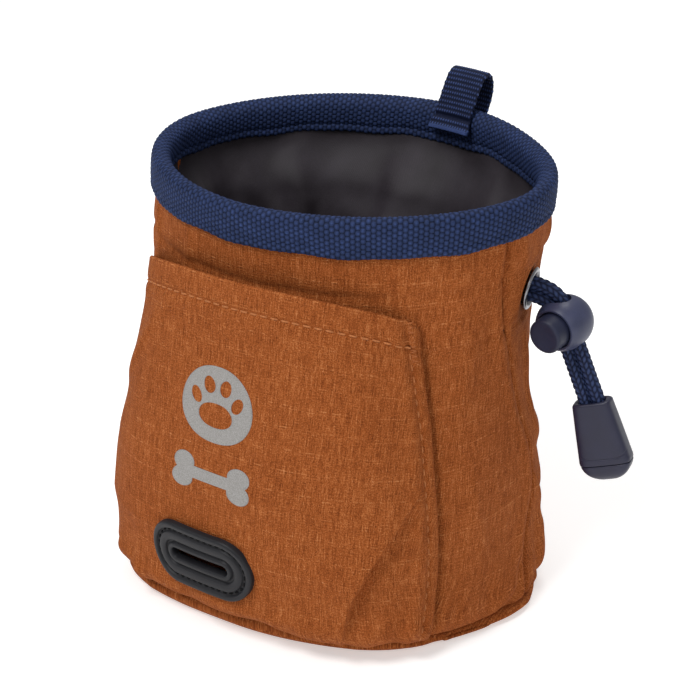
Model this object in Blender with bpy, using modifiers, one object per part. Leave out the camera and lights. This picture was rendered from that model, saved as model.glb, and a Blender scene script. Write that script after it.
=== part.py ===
"""Treat pouch: an open-mouthed fabric bag on a wire hoop, with a patch pocket, a bag dispenser and a drawcord.

X is to the pouch's right, -Y is its front and +Z is up. The origin is the centre of the base.
Everything is in metres.
"""

import math

import bmesh
import bpy
import numpy as np
from mathutils import Matrix, Vector

# ---------------------------------------------------------------- driving dimensions
MM = 0.001
GAP = 0.3 * MM

RIM_HEIGHT = 131 * MM
RIM_LEAN = 0.054  # how much higher the mouth's back is than its front, per metre of depth

# The outside of the bag's fabric, ring by ring, in millimetres:
# height, half width, front Y, back Y, roundness of the ring, angle of the side seam in degrees
RINGS_MM = [
    (0, 59.5, -49, 49, 2.8, 4),
    (4, 61.5, -50.5, 50, 2.8, 5),
    (25, 62.5, -49, 51.5, 2.6, 11),
    (45, 62, -47, 51.5, 2.5, 14),
    (65, 60, -44.7, 48.5, 2.4, 9),
    (85, 59, -43, 48, 2.3, 3),
    (105, 61.5, -42, 53, 2.1, -6),
    (118, 63.2, -42, 57.5, 1.95, -10),
    (131, 63.9, -41.9, 59.9, 1.85, -11),
]
FRONT_COLUMNS = 22
BACK_COLUMNS = 18
# Where the wall stands off its rings: the angle and how far round it reaches, in degrees, then millimetres
FOOT_BULGES_MM = [(-120, 24, 4.7), (-90, 18, 2.6), (3, 11, 6.0), (22, 14, 2.0)]
FOOT_HEIGHT = 8 * MM
MOUTH_DENTS_MM = [(165, 32, -2.0), (50, 20, -1.2)]
MOUTH_DENTS_FROM, MOUTH_DENTS_TO = 100 * MM, 128 * MM

FABRIC = 0.8 * MM
BASE_TURN_UP = 5.5 * MM  # how far the base panel is turned up to the wall's seam
SHELL_TOP = 127.1 * MM  # the fabric ends under the hoop, inside the binding

BINDING_TAPE = 1.2 * MM
BINDING_DROP = 10.5 * MM
BINDING_OUT = 1.6 * MM  # outer face of the tape, out from the bag's fabric
BINDING_IN = -3.7 * MM  # inner face of the tape
HOOP_RADIUS = 1 * MM

# How far inside the bag's fabric the lining's outer face lies, by height: it stands off at the drawcord
LINING_OFFSETS_MM = [(4.4, -1.3), (84, -1.3), (91, -6.0), (108, -6.0), (116, -1.1), (131, -1.1)]

# The pocket: half its angle round the bag, and how far it stands off the bag, by height
POCKET_HALF_ANGLES = [(4, 62), (25, 63), (50, 61), (70, 59.8), (85, 57), (100, 52), (112, 49)]
POCKET_STAND_OFF_MM = [(4, 1.5), (12, 5.5), (30, 10.5), (50, 11), (70, 9.8), (90, 8), (111, 6.6)]
POCKET_EDGE_OFFSET = 1.3 * MM
POCKET_TOP = 111.9 * MM
POCKET_DROP_LEFT, POCKET_DROP_RIGHT = 15.3 * MM, 10.3 * MM  # how much lower its top corners are than its middle
POCKET_TOP_POWER = 2.6
POCKET_BOTTOM = 6.3 * MM

PORT_HEIGHT, PORT_TURN = 22.5 * MM, -0.03
PORT_LENGTH, PORT_WIDTH, PORT_THICK = 38 * MM, 20.5 * MM, 2.2 * MM
SLOT_LENGTH, SLOT_WIDTH = 21.5 * MM, 3.4 * MM
PORT_STAND_OFF = 0.25 * MM  # the flat plate clears the pocket's bulge by this much more than the gap
WINDOW_MARGIN = 1.5 * MM  # how far the pocket's own slot lies outside the plate's slot

EYELET_HEIGHT, EYELET_ANGLE = 99.5 * MM, 13.0
EYELET_HOLE, EYELET_FLANGE = 4.7 * MM, 6.7 * MM
EYELET_WALL = 0.4 * MM

CORD_RADIUS = 2 * MM
STRAND_OFFSET = 2.1 * MM  # each strand's centre, out from the middle of the pair
# The pair's middle from the eyelet: outwards and upwards, in the upright plane of the eyelet's axis
CORD_ROUTE_MM = [
    (-2.4, 0.4), (-1.2, 0.2), (0, 0), (1.3, -0.2), (2.6, -0.45), (4.15, -0.9), (5.6, -1.5), (6.9, -2.4),
    (7.95, -3.5), (8.8, -4.7), (9.4, -6.0), (10.05, -7.6), (10.7, -9.2), (11.85, -12.1), (13.0, -15.0),
    (15.3, -20.7), (17.6, -26.5), (19.9, -32.3), (21.1, -36.4), (22.3, -40.7),
]
LOCK_STOP, CORD_END_STOP = 12, 17  # the route's points at the lock's centre and at the end piece's top
HIDDEN_RUN_CLEAR = 9.0  # degrees that the cord inside the wall leaves free each side of the eyelet

LOCK_RADIUS = 8.75 * MM
LOCK_BACK, LOCK_FACE = -9.3 * MM, 7.5 * MM
LOCK_ROUNDNESS = 2.6
LOCK_TURN = math.radians(18)  # how far the lock is turned on the cord
LOCK_BORE, LOCK_BORE_FLOOR = 5.55 * MM, -7.6 * MM
LOCK_SLOT_ACROSS = (-5.5 * MM, 4.6 * MM)
LOCK_SLOT_DEEP = 3.2 * MM
BUTTON_RADIUS, BUTTON_BOTTOM, BUTTON_TOP = 5.25 * MM, -3.7 * MM, 11.6 * MM
BUTTON_SLOT = (-2.9 * MM, 4.8 * MM)  # long enough to clear the cord when the button is 1.8 mm in
BUTTON_SLOT_HALF = 4.45 * MM
BUTTON_EDGE = 0.8 * MM
SPRING_RADIUS, SPRING_WIRE, SPRING_TURNS = 3.6 * MM, 0.22 * MM, 2

END_LENGTH, END_TOP_WIDTH, END_LOW_WIDTH, END_THICK = 25 * MM, 11.5 * MM, 15.8 * MM, 7.4 * MM
END_LID = 5.5 * MM
END_TILT = math.radians(5.5)
END_POCKET_DEPTH = 9 * MM
END_POCKET_CLEAR = 0.4 * MM  # round the strands, in the end piece's pocket
END_SQUARENESS = 0.45  # 1 would make its section an ellipse, and 0 a rectangle

LOOP_ANGLE, LOOP_HALF_ANGLE, LOOP_TAPE = 84.5, 7.3, 1.4 * MM
# The loop's middle line from its foot inside the mouth to its foot outside: Y and Z
LOOP_LINE_MM = [
    (53.1, 126.4), (53.4, 128.2), (54.0, 130.8), (55.1, 133.6), (57.0, 137.0), (59.3, 140.8), (61.8, 144.0),
    (64.4, 145.1), (66.6, 143.7), (67.3, 140.6), (66.4, 137.0), (64.4, 133.4), (62.4, 130), (61.2, 127),
    (60.6, 124.2),
]


# ---------------------------------------------------------------- the scene and small tools
for leftover in list(bpy.data.objects):
    bpy.data.objects.remove(leftover)

PARTS = bpy.data.collections.new("treat_pouch")
CUTTERS = bpy.data.collections.new("cutters")
for group in (PARTS, CUTTERS):
    bpy.context.scene.collection.children.link(group)
CUTTERS.hide_render = True


def material(name, colour, roughness, metallic=0.0):
    made = bpy.data.materials.new(name)
    made.use_nodes = True
    shader = made.node_tree.nodes["Principled BSDF"]
    shader.inputs["Base Color"].default_value = (*colour, 1)
    shader.inputs["Roughness"].default_value = roughness
    shader.inputs["Metallic"].default_value = metallic
    return made


RUST_FABRIC = (0.36, 0.12, 0.04)
LINING_GREY = (0.035, 0.033, 0.04)
NAVY_WEBBING = (0.02, 0.03, 0.09)
NAVY_PLASTIC = (0.05, 0.055, 0.08)
BLACK_RUBBER = (0.03, 0.03, 0.035)
STEEL = (0.5, 0.5, 0.52)


def add(name, mesh, colour, roughness=0.8, metallic=0.0, smooth=True):
    """Puts a mesh in the model as one named part."""
    made = bpy.data.objects.new(name, mesh)
    mesh.materials.append(material(name, colour, roughness, metallic))
    if smooth and isinstance(mesh, bpy.types.Mesh):
        mesh.shade_smooth()
        mesh.set_sharp_from_angle(angle=math.radians(40))
    PARTS.objects.link(made)
    return made


def mesh_from(name, shape):
    mesh = bpy.data.meshes.new(name)
    shape.to_mesh(mesh)
    shape.free()
    return mesh


def grid(name, rows, closed_columns=False, closed_rows=False, floor=False):
    """An open sheet through rows of points. floor fills the first row with one flat face."""
    shape = bmesh.new()
    points = [[shape.verts.new(point) for point in row] for row in rows]
    columns = len(rows[0])
    for i in range(len(rows) - (0 if closed_rows else 1)):
        low, high = points[i], points[(i + 1) % len(points)]
        for j in range(columns - (0 if closed_columns else 1)):
            k = (j + 1) % columns
            shape.faces.new((low[j], low[k], high[k], high[j]))
    if floor:
        shape.faces.new(reversed(points[0]))
    return mesh_from(name, shape)


def thicken(made, thickness, side=-1):
    """side -1 grows the sheet against its normals, which point out of the pouch."""
    modifier = made.modifiers.new("thickness", "SOLIDIFY")
    modifier.thickness = thickness
    modifier.offset = side
    return made


def cut(made, cutter):
    cutter.display_type = "WIRE"
    cutter.hide_render = True
    modifier = made.modifiers.new("cut", "BOOLEAN")
    modifier.operation = "DIFFERENCE"
    modifier.object = cutter
    modifier.solver = "EXACT"


def cutter_box(name, frame, low, high):
    shape = bmesh.new()
    bmesh.ops.create_cube(shape, size=1)
    low, high = Vector(low), Vector(high)
    for vert in shape.verts:
        vert.co = [a + (b - a) * (c + 0.5) for a, b, c in zip(low, high, vert.co)]
    made = bpy.data.objects.new(name, mesh_from(name, shape))
    made.matrix_world = frame
    CUTTERS.objects.link(made)
    return made


def cutter_cylinder(name, frame, radius, low, high, sides=32):
    shape = bmesh.new()
    bmesh.ops.create_cone(
        shape, cap_ends=True, segments=sides, radius1=radius, radius2=radius, depth=high - low
    )
    bmesh.ops.translate(shape, verts=shape.verts, vec=(0, 0, (low + high) / 2))
    made = bpy.data.objects.new(name, mesh_from(name, shape))
    made.matrix_world = frame
    CUTTERS.objects.link(made)
    return made


def turned(name, profile, frame, colour, roughness, metallic=0.0, steps=32, closed=False):
    """A turned piece: the profile is (radius, height) down its outer side."""
    shape = bmesh.new()
    verts = [shape.verts.new((radius, 0, height)) for radius, height in profile]
    for a, b in zip(verts, verts[1:] + (verts[:1] if closed else [])):
        shape.edges.new((a, b))
    made = add(name, mesh_from(name, shape), colour, roughness, metallic)
    made.matrix_world = frame
    screw = made.modifiers.new("turn", "SCREW")
    screw.steps = screw.render_steps = steps
    screw.use_merge_vertices = True
    screw.merge_threshold = 1e-5
    screw.use_smooth_shade = True
    return made


def tube(name, points, radius, colour, closed=False, resolution=2):
    """A round cord or wire along a list of points."""
    curve = bpy.data.curves.new(name, "CURVE")
    curve.dimensions = "3D"
    curve.bevel_depth = radius
    curve.bevel_resolution = resolution
    curve.use_fill_caps = not closed
    spline = curve.splines.new("POLY")
    spline.points.add(len(points) - 1)
    for point, place in zip(spline.points, points):
        point.co = (*place, 1)
    spline.use_cyclic_u = closed
    return add(name, curve, colour)


def frame_of(origin, x_axis, z_axis):
    """A placement whose Z is z_axis and whose X is as near x_axis as it can be."""
    z = Vector(z_axis).normalized()
    x = (Vector(x_axis) - Vector(x_axis).dot(z) * z).normalized()
    turn = Matrix((x, z.cross(x), z)).transposed().to_4x4()
    return Matrix.Translation(Vector(origin)) @ turn


# ---------------------------------------------------------------- the bag's shape
RING_TABLE = np.array(RINGS_MM, float)
RING_HEIGHTS = RING_TABLE[:, 0] * MM
RING_SCALES = (MM, MM, MM, 1, 1)


def ring_values(z):
    """Half width, front, back, roundness and seam angle at a height, on a smooth curve through the rings."""
    z = min(max(z, RING_HEIGHTS[0]), RING_HEIGHTS[-1])
    i = int(min(max(np.searchsorted(RING_HEIGHTS, z) - 1, 0), len(RING_HEIGHTS) - 2))
    step = RING_HEIGHTS[i + 1] - RING_HEIGHTS[i]
    u = (z - RING_HEIGHTS[i]) / step
    found = []
    for column, scale in enumerate(RING_SCALES, start=1):
        values = RING_TABLE[:, column] * scale
        slopes = np.gradient(values, RING_HEIGHTS)
        found.append(
            (2 * u**3 - 3 * u**2 + 1) * values[i]
            + (u**3 - 2 * u**2 + u) * step * slopes[i]
            + (3 * u**2 - 2 * u**3) * values[i + 1]
            + (u**3 - u**2) * step * slopes[i + 1]
        )
    return found


def bulge(places, degrees):
    """A sum of smooth bulges round the bag, in metres."""
    found = 0.0
    for middle, reach, height in places:
        away = (degrees - middle + 180) % 360 - 180
        found += height * MM * math.exp(-((away / reach) ** 2))
    return found


def wall_point(z, degrees, offset=0.0):
    """A point on the bag's wall: 0 degrees is its right side and -90 its front. offset is outwards."""
    rise = min(max((z - MOUTH_DENTS_FROM) / (MOUTH_DENTS_TO - MOUTH_DENTS_FROM), 0), 1)
    offset += bulge(FOOT_BULGES_MM, degrees) * math.exp(-((z / FOOT_HEIGHT) ** 2))
    offset += bulge(MOUTH_DENTS_MM, degrees) * rise * rise * (3 - 2 * rise)
    half_width, front, back, roundness, _ = ring_values(z)
    half_depth = (back - front) / 2
    c, s = math.cos(math.radians(degrees)), math.sin(math.radians(degrees))
    x = half_width * math.copysign(abs(c) ** (2 / roundness), c)
    y = half_depth * math.copysign(abs(s) ** (2 / roundness), s)
    normal_x = math.copysign(abs(c) ** (2 - 2 / roundness), c) / half_width
    normal_y = math.copysign(abs(s) ** (2 - 2 / roundness), s) / half_depth
    length = math.hypot(normal_x, normal_y)
    x += offset * normal_x / length
    y += offset * normal_y / length + (front + back) / 2
    return Vector((x, y, z + RIM_LEAN * y * z / RIM_HEIGHT))


def front_angles(z, gap=0.0):
    seam = ring_values(z)[4] - gap
    return np.linspace(-180 - seam, seam, FRONT_COLUMNS + 1)


def back_angles(z, gap=0.0):
    seam = ring_values(z)[4] + gap
    return np.linspace(seam, 180 - seam, BACK_COLUMNS + 1)


def ring_angles(z):
    """All the way round, with the same columns as the two panels."""
    return np.concatenate([front_angles(z)[:-1], back_angles(z)[:-1]])


def full_ring(z, offset):
    return [wall_point(z, angle, offset) for angle in ring_angles(z)]


WALL_HEIGHTS = [BASE_TURN_UP + GAP] + [z * MM for z in (12, 25, 45, 65, 84, 91, 99.5, 108, 116)] + [SHELL_TOP]
SEAM_GAP_DEGREES = 0.2


def make_wall_panels():
    """The outer fabric is two panels that meet at the side seams."""
    front = [[wall_point(z, a) for a in front_angles(z, SEAM_GAP_DEGREES)] for z in WALL_HEIGHTS]
    back = [[wall_point(z, a) for a in back_angles(z, SEAM_GAP_DEGREES)] for z in WALL_HEIGHTS]
    front_panel = add("shell_front_panel", grid("shell_front_panel", front), RUST_FABRIC)
    back_panel = add("shell_back_panel", grid("shell_back_panel", back), RUST_FABRIC)
    thicken(front_panel, FABRIC)
    thicken(back_panel, FABRIC)
    return front_panel, back_panel


def make_base():
    """An oval panel turned up to the wall's seam, and the lining's own oval above it."""
    rows = [(0, -4), (0, -1.6), (0.8, -0.3), (2.4, 0.3), (BASE_TURN_UP / MM, 0)]
    outer = [full_ring(z * MM, offset * MM) for z, offset in rows]
    thicken(add("base_panel", grid("base_panel", outer, True, floor=True), RUST_FABRIC), FABRIC)
    rows = [(1.2, -5), (1.2, -2.9), (1.7, -1.9), (2.6, -1.4), (4.0, -1.4)]
    inner = [full_ring(z * MM, offset * MM) for z, offset in rows]
    thicken(add("lining_base", grid("lining_base", inner, True, floor=True), LINING_GREY, 0.45), FABRIC)


def make_lining_wall():
    table = np.array(LINING_OFFSETS_MM) * MM
    heights = [4.4 * MM] + [z * MM for z in (12, 25, 45, 65, 84, 91, 99.5, 108, 116)] + [SHELL_TOP]
    rows = [full_ring(z, float(np.interp(z, table[:, 0], table[:, 1]))) for z in heights]
    thicken(add("lining_wall", grid("lining_wall", rows, True), LINING_GREY, 0.45), FABRIC)


# ---------------------------------------------------------------- the mouth
def make_binding():
    """Webbing folded over the mouth's edge, with the steel hoop in the fold."""
    low = RIM_HEIGHT - BINDING_DROP
    fold = (BINDING_OUT - BINDING_IN) / 2
    middle = (BINDING_OUT + BINDING_IN) / 2
    outer = [(low, BINDING_OUT), ((low + RIM_HEIGHT - fold) / 2, BINDING_OUT)]
    for step in range(7):
        angle = math.pi * step / 6
        outer.append((RIM_HEIGHT - fold + fold * math.sin(angle), middle + fold * math.cos(angle)))
    outer += [((low + RIM_HEIGHT - fold) / 2, BINDING_IN), (low, BINDING_IN)]
    rows = [full_ring(z, offset) for z, offset in outer]
    thicken(add("rim_binding", grid("rim_binding", rows, True), NAVY_WEBBING), BINDING_TAPE)
    hoop_height = RIM_HEIGHT - BINDING_TAPE - GAP - HOOP_RADIUS
    tube("rim_hoop_wire", full_ring(hoop_height, middle), HOOP_RADIUS, STEEL, closed=True, resolution=1)


def make_loop():
    """The hanging loop: one strip of webbing over the back of the rim, sewn inside and outside."""
    # The tape bows across its width as the rim does.
    low, high = LOOP_ANGLE - LOOP_HALF_ANGLE, LOOP_ANGLE + LOOP_HALF_ANGLE
    across = [wall_point(RIM_HEIGHT, angle) for angle in np.linspace(high, low, 5)]
    middle = wall_point(RIM_HEIGHT, LOOP_ANGLE).y
    rows = []
    for y, z in LOOP_LINE_MM:
        rows.append([(edge.x, y * MM + edge.y - middle, z * MM) for edge in across])
    thicken(add("rim_loop", grid("rim_loop", rows), NAVY_WEBBING), LOOP_TAPE, side=0)


# ---------------------------------------------------------------- the pocket and its dispenser
def pocket_top(turn):
    return POCKET_TOP - (POCKET_DROP_LEFT if turn < 0 else POCKET_DROP_RIGHT) * abs(turn) ** POCKET_TOP_POWER


def pocket_point(z, turn, extra=0.0):
    """turn is -1 at the pocket's left edge and 1 at its right one."""
    spans = np.array(POCKET_HALF_ANGLES)
    angle = -90 + turn * float(np.interp(z / MM, spans[:, 0], spans[:, 1]))
    z = min(z, pocket_top(turn))
    table = np.array(POCKET_STAND_OFF_MM) * MM
    stand_off = float(np.interp(z, table[:, 0], table[:, 1]))
    return wall_point(z, angle, POCKET_EDGE_OFFSET + stand_off * (1 - abs(turn) ** 3) + extra)


POCKET_HEIGHTS = [POCKET_BOTTOM] + [z * MM for z in (12, 22, 34, 48, 62, 76, 90, 99)] + [POCKET_TOP]


def port_frame():
    """The dispenser's placement: X along its slot and Z out of the pocket."""
    step = 0.5 * MM
    middle = pocket_point(PORT_HEIGHT, PORT_TURN)
    along = pocket_point(PORT_HEIGHT, PORT_TURN + 0.1) - pocket_point(PORT_HEIGHT, PORT_TURN - 0.1)
    up = pocket_point(PORT_HEIGHT + step, PORT_TURN) - pocket_point(PORT_HEIGHT - step, PORT_TURN)
    return frame_of(middle, along, along.cross(up))


def stadium(name, length, width, thick, low, hole=None):
    """A flat plate with round ends, its back at Z = low, with an optional slot through it."""
    curve = bpy.data.curves.new(name, "CURVE")
    curve.dimensions = "2D"
    curve.fill_mode = "BOTH"
    curve.extrude = thick / 2
    for size in [(length, width)] + ([hole] if hole else []):
        radius, run = size[1] / 2, (size[0] - size[1]) / 2
        outline = []
        for end, start in ((1, -90), (-1, 90)):
            for step in range(9):
                angle = math.radians(start + 180 * step / 8)
                outline.append((end * run + radius * math.cos(angle), radius * math.sin(angle)))
        spline = curve.splines.new("POLY")
        spline.points.add(len(outline) - 1)
        for point, (x, y) in zip(spline.points, outline):
            point.co = (x, y, 0, 1)
        spline.use_cyclic_u = True
    holder = bpy.data.objects.new(name, curve)
    PARTS.objects.link(holder)
    bpy.context.view_layer.update()
    graph = bpy.context.evaluated_depsgraph_get()
    mesh = bpy.data.meshes.new_from_object(holder.evaluated_get(graph))
    bpy.data.objects.remove(holder)
    shape = bmesh.new()
    shape.from_mesh(mesh)
    bmesh.ops.remove_doubles(shape, verts=shape.verts, dist=1e-6)
    bmesh.ops.translate(shape, verts=shape.verts, vec=(0, 0, low + thick / 2))
    bmesh.ops.recalc_face_normals(shape, faces=shape.faces)
    return mesh_from(name, shape)


def make_pocket():
    turns = np.linspace(-1, 1, 21)
    rows = [[pocket_point(z, turn) for turn in turns] for z in POCKET_HEIGHTS[:-2]]
    # The last two rows follow the pocket's curved top edge.
    rows.append([pocket_point(pocket_top(turn) - 8 * MM, turn) for turn in turns])
    rows.append([pocket_point(pocket_top(turn), turn) for turn in turns])
    pocket = thicken(add("front_pocket", grid("front_pocket", rows), RUST_FABRIC), FABRIC)

    frame = port_frame()
    margin, deep = 2 * WINDOW_MARGIN, 8 * MM
    window = stadium("port_window", SLOT_LENGTH + margin, SLOT_WIDTH + margin, deep, -deep / 2)
    cutter = bpy.data.objects.new("port_window", window)
    cutter.matrix_world = frame
    CUTTERS.objects.link(cutter)
    cut(pocket, cutter)
    low = GAP + PORT_STAND_OFF
    plate = stadium("dispenser_port", PORT_LENGTH, PORT_WIDTH, PORT_THICK, low, (SLOT_LENGTH, SLOT_WIDTH))
    add("dispenser_port", plate, BLACK_RUBBER, 0.5, smooth=False).matrix_world = frame


# ---------------------------------------------------------------- the eyelet
def eyelet_frame():
    """Z points out of the bag through the eyelet, and X runs along the wall."""
    middle = wall_point(EYELET_HEIGHT, EYELET_ANGLE)
    along = wall_point(EYELET_HEIGHT, EYELET_ANGLE + 1) - wall_point(EYELET_HEIGHT, EYELET_ANGLE - 1)
    up = wall_point(EYELET_HEIGHT + MM, EYELET_ANGLE) - wall_point(EYELET_HEIGHT - MM, EYELET_ANGLE)
    return frame_of(middle, along, along.cross(up))


EYELET = eyelet_frame()


def make_eyelet(back_panel):
    hole, wall, flange = EYELET_HOLE, EYELET_HOLE + EYELET_WALL, EYELET_FLANGE
    barrel = [
        (hole + 0.2 * MM, 1.3 * MM), (flange - 0.7 * MM, 1.3 * MM), (flange - 0.15 * MM, 1.0 * MM),
        (flange, 0.5 * MM), (flange - 0.2 * MM, 0.3 * MM), (wall, 0.3 * MM), (wall, -2.5 * MM),
        (wall + 0.5 * MM, -2.6 * MM), (wall + 0.6 * MM, -2.85 * MM), (wall + 0.3 * MM, -3.1 * MM),
        (hole, -3.0 * MM), (hole, 1.0 * MM),
    ]
    turned("eyelet_barrel", barrel, EYELET, STEEL, 0.3, 1.0, steps=24, closed=True)
    washer = [(flange, -1.8 * MM), (flange, -2.2 * MM), (wall + GAP, -2.2 * MM), (wall + GAP, -1.8 * MM)]
    turned("eyelet_washer", washer, EYELET, STEEL, 0.3, 1.0, steps=24, closed=True)
    cut(back_panel, cutter_cylinder("eyelet_hole", EYELET, wall + GAP, -4 * MM, 4 * MM))


# ---------------------------------------------------------------- the drawcord
EYELET_POINT = EYELET.translation
EYELET_OUT = EYELET.to_3x3() @ Vector((0, 0, 1))
LEVEL_OUT = Vector((EYELET_OUT.x, EYELET_OUT.y, 0)).normalized()
UP = Vector((0, 0, 1))


def from_eyelet(outwards, upwards):
    return EYELET_POINT + LEVEL_OUT * outwards + UP * upwards


CORD_ROUTE = [from_eyelet(outwards * MM, upwards * MM) for outwards, upwards in CORD_ROUTE_MM]
LOCK_POINT = CORD_ROUTE[LOCK_STOP]
END_POINT = CORD_ROUTE[CORD_END_STOP]
CORD_DOWN = (END_POINT - LOCK_POINT).normalized()
PAIR_AXIS = LEVEL_OUT.cross(UP).normalized()  # square to the plane in which the two strands lie
END_DOWN = (Matrix.Rotation(END_TILT, 3, -PAIR_AXIS) @ CORD_DOWN).normalized()
LOCK_AXIS = Matrix.Rotation(LOCK_TURN, 3, CORD_DOWN) @ PAIR_AXIS  # the way the button points
LOCK_ACROSS = LOCK_AXIS.cross(CORD_DOWN).normalized()


def tail_line():
    """(place, direction) along a smooth curve through the route: a Catmull-Rom curve."""
    ends = (2 * CORD_ROUTE[0] - CORD_ROUTE[1], 2 * CORD_ROUTE[-1] - CORD_ROUTE[-2])
    route = [ends[0], *CORD_ROUTE, ends[1]]
    line = []
    for before, start, end, after in zip(route, route[1:], route[2:], route[3:]):
        slope_in, slope_out = (end - before) / 2, (after - start) / 2
        for u in (0, 0.5):
            place = (
                (2 * u**3 - 3 * u**2 + 1) * start
                + (u**3 - 2 * u**2 + u) * slope_in
                + (3 * u**2 - 2 * u**3) * end
                + (u**3 - u**2) * slope_out
            )
            along = (
                (6 * u**2 - 6 * u) * (start - end)
                + (3 * u**2 - 4 * u + 1) * slope_in
                + (3 * u**2 - 2 * u) * slope_out
            )
            line.append((place, along.normalized()))
    line.append((CORD_ROUTE[-1], END_DOWN))
    return line


def make_cords():
    for name, side in (("drawcord_strand_upper", 1), ("drawcord_strand_lower", -1)):
        points = []
        for middle, along in tail_line():
            points.append(middle + PAIR_AXIS.cross(along).normalized() * STRAND_OFFSET * side)
        tube(name, points, CORD_RADIUS, NAVY_WEBBING)
    # Inside the wall the cord runs all the way round, level with the eyelet.
    offset = -(FABRIC + 2 * GAP + CORD_RADIUS)
    clear = HIDDEN_RUN_CLEAR
    kept = sorted((a - EYELET_ANGLE) % 360 for a in ring_angles(EYELET_HEIGHT))
    kept = [clear] + [a for a in kept if clear + 2 < a < 358 - clear] + [360 - clear]
    ring = [wall_point(EYELET_HEIGHT, EYELET_ANGLE + a, offset) for a in kept]
    tube("drawcord_hidden_run", ring, CORD_RADIUS, NAVY_WEBBING, resolution=1)


# ---------------------------------------------------------------- the cord lock
LOCK_FRAME = frame_of(LOCK_POINT, LOCK_ACROSS, LOCK_AXIS)  # X across the strands, Y along them, Z the button


def make_cord_lock():
    power = 2 / LOCK_ROUNDNESS
    start = math.asin((LOCK_FACE / -LOCK_BACK) ** (1 / power))
    profile = [(0, LOCK_FACE)]
    for angle in np.linspace(start, -math.pi / 2, 13)[:-1]:
        height = -LOCK_BACK * math.copysign(abs(math.sin(angle)) ** power, math.sin(angle))
        profile.append((LOCK_RADIUS * math.cos(angle) ** power, height))
    profile.append((0, LOCK_BACK))
    body = turned("cord_lock_body", profile, LOCK_FRAME, NAVY_PLASTIC, 0.45, steps=28)
    wide = 12 * MM
    cut(body, cutter_cylinder("lock_bore", LOCK_FRAME, LOCK_BORE, LOCK_BORE_FLOOR, 2 * LOCK_FACE))
    low = (LOCK_SLOT_ACROSS[0], -wide, -LOCK_SLOT_DEEP)
    high = (LOCK_SLOT_ACROSS[1], wide, LOCK_SLOT_DEEP)
    cut(body, cutter_box("lock_slot", LOCK_FRAME, low, high))

    profile = [
        (0, BUTTON_TOP), (BUTTON_RADIUS - BUTTON_EDGE, BUTTON_TOP), (BUTTON_RADIUS, BUTTON_TOP - BUTTON_EDGE),
        (BUTTON_RADIUS, BUTTON_BOTTOM), (0, BUTTON_BOTTOM),
    ]
    button = turned("cord_lock_button", profile, LOCK_FRAME, NAVY_PLASTIC, 0.45, steps=28)
    low, high = (-BUTTON_SLOT_HALF, -wide, BUTTON_SLOT[0]), (BUTTON_SLOT_HALF, wide, BUTTON_SLOT[1])
    cut(button, cutter_box("button_slot", LOCK_FRAME, low, high))

    low, high = LOCK_BORE_FLOOR + SPRING_WIRE + GAP, BUTTON_BOTTOM - SPRING_WIRE - GAP
    steps = 30
    coil = []
    for step in range(steps + 1):
        angle = 2 * math.pi * SPRING_TURNS * step / steps
        place = (SPRING_RADIUS * math.cos(angle), SPRING_RADIUS * math.sin(angle))
        coil.append(LOCK_FRAME @ Vector((*place, low + (high - low) * step / steps)))
    tube("cord_lock_spring", coil, SPRING_WIRE, STEEL, resolution=1)


# ---------------------------------------------------------------- the cord's end piece
END_SIDES = 16


def end_outline(low, high):
    """The end piece's half widths between two distances below its top."""
    shoulder = END_LENGTH - END_LOW_WIDTH * 0.42
    found = []
    for step in range(13):
        down = low + (high - low) * step / 12
        half = END_TOP_WIDTH / 2 + (END_LOW_WIDTH - END_TOP_WIDTH) / 2 * min(down / shoulder, 1)
        if down > shoulder:
            past = (down - shoulder) / (END_LENGTH - shoulder)
            half *= math.sqrt(max(1 - past**2, 0.03))
        found.append((half, down))
    return found


def end_piece(name, low, high):
    """A slab with round edges, wide across the strands and thin along the button's axis."""
    across = PAIR_AXIS.cross(END_DOWN).normalized()
    rows = []
    for half, down in end_outline(low, high):
        centre = END_POINT + END_DOWN * down
        thin = END_THICK / 2 * (0.9 + 0.1 * min(down / (8 * MM), 1))
        row = []
        for step in range(END_SIDES):
            angle = 2 * math.pi * step / END_SIDES
            c, s = math.cos(angle), math.sin(angle)
            out = half * math.copysign(abs(c) ** END_SQUARENESS, c)
            deep = thin * math.copysign(abs(s) ** END_SQUARENESS, s)
            row.append(centre + across * out + PAIR_AXIS * deep)
        rows.append(row)
    shape = bmesh.new()
    loops = [[shape.verts.new(point) for point in row] for row in rows]
    for upper, lower in zip(loops, loops[1:]):
        for j in range(END_SIDES):
            k = (j + 1) % END_SIDES
            shape.faces.new((upper[j], lower[j], lower[k], upper[k]))
    shape.faces.new(loops[0])
    shape.faces.new(reversed(loops[-1]))
    bmesh.ops.recalc_face_normals(shape, faces=shape.faces)
    return add(name, mesh_from(name, shape), NAVY_PLASTIC, 0.45)


def make_cord_end():
    body = end_piece("cord_end_body", 0, END_LENGTH - END_LID)
    end_piece("cord_end_lid", END_LENGTH - END_LID + GAP, END_LENGTH)
    across = PAIR_AXIS.cross(END_DOWN).normalized()
    frame = frame_of(END_POINT, across, PAIR_AXIS)
    side = 1 if (frame.to_3x3() @ Vector((0, 1, 0))).dot(END_DOWN) > 0 else -1
    ends = sorted((-4 * MM * side, END_POCKET_DEPTH * side))
    half, deep = STRAND_OFFSET + CORD_RADIUS + END_POCKET_CLEAR, CORD_RADIUS + END_POCKET_CLEAR
    cut(body, cutter_box("end_pocket", frame, (-half, ends[0], -deep), (half, ends[1], deep)))


# ---------------------------------------------------------------- all of it
shell_front, shell_back = make_wall_panels()
make_base()
make_lining_wall()
make_binding()
make_loop()
make_pocket()
make_eyelet(shell_back)
make_cords()
make_cord_lock()
make_cord_end()
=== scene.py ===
"""The looks of the treat pouch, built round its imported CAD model.

X is to the pouch's right, -Y is its front and +Z is up. The origin is the centre of the base.
Everything is in metres, in the CAD's own frame.
"""

import math

import bmesh
import bpy
import numpy as np
from mathutils import Matrix, Vector


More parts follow.
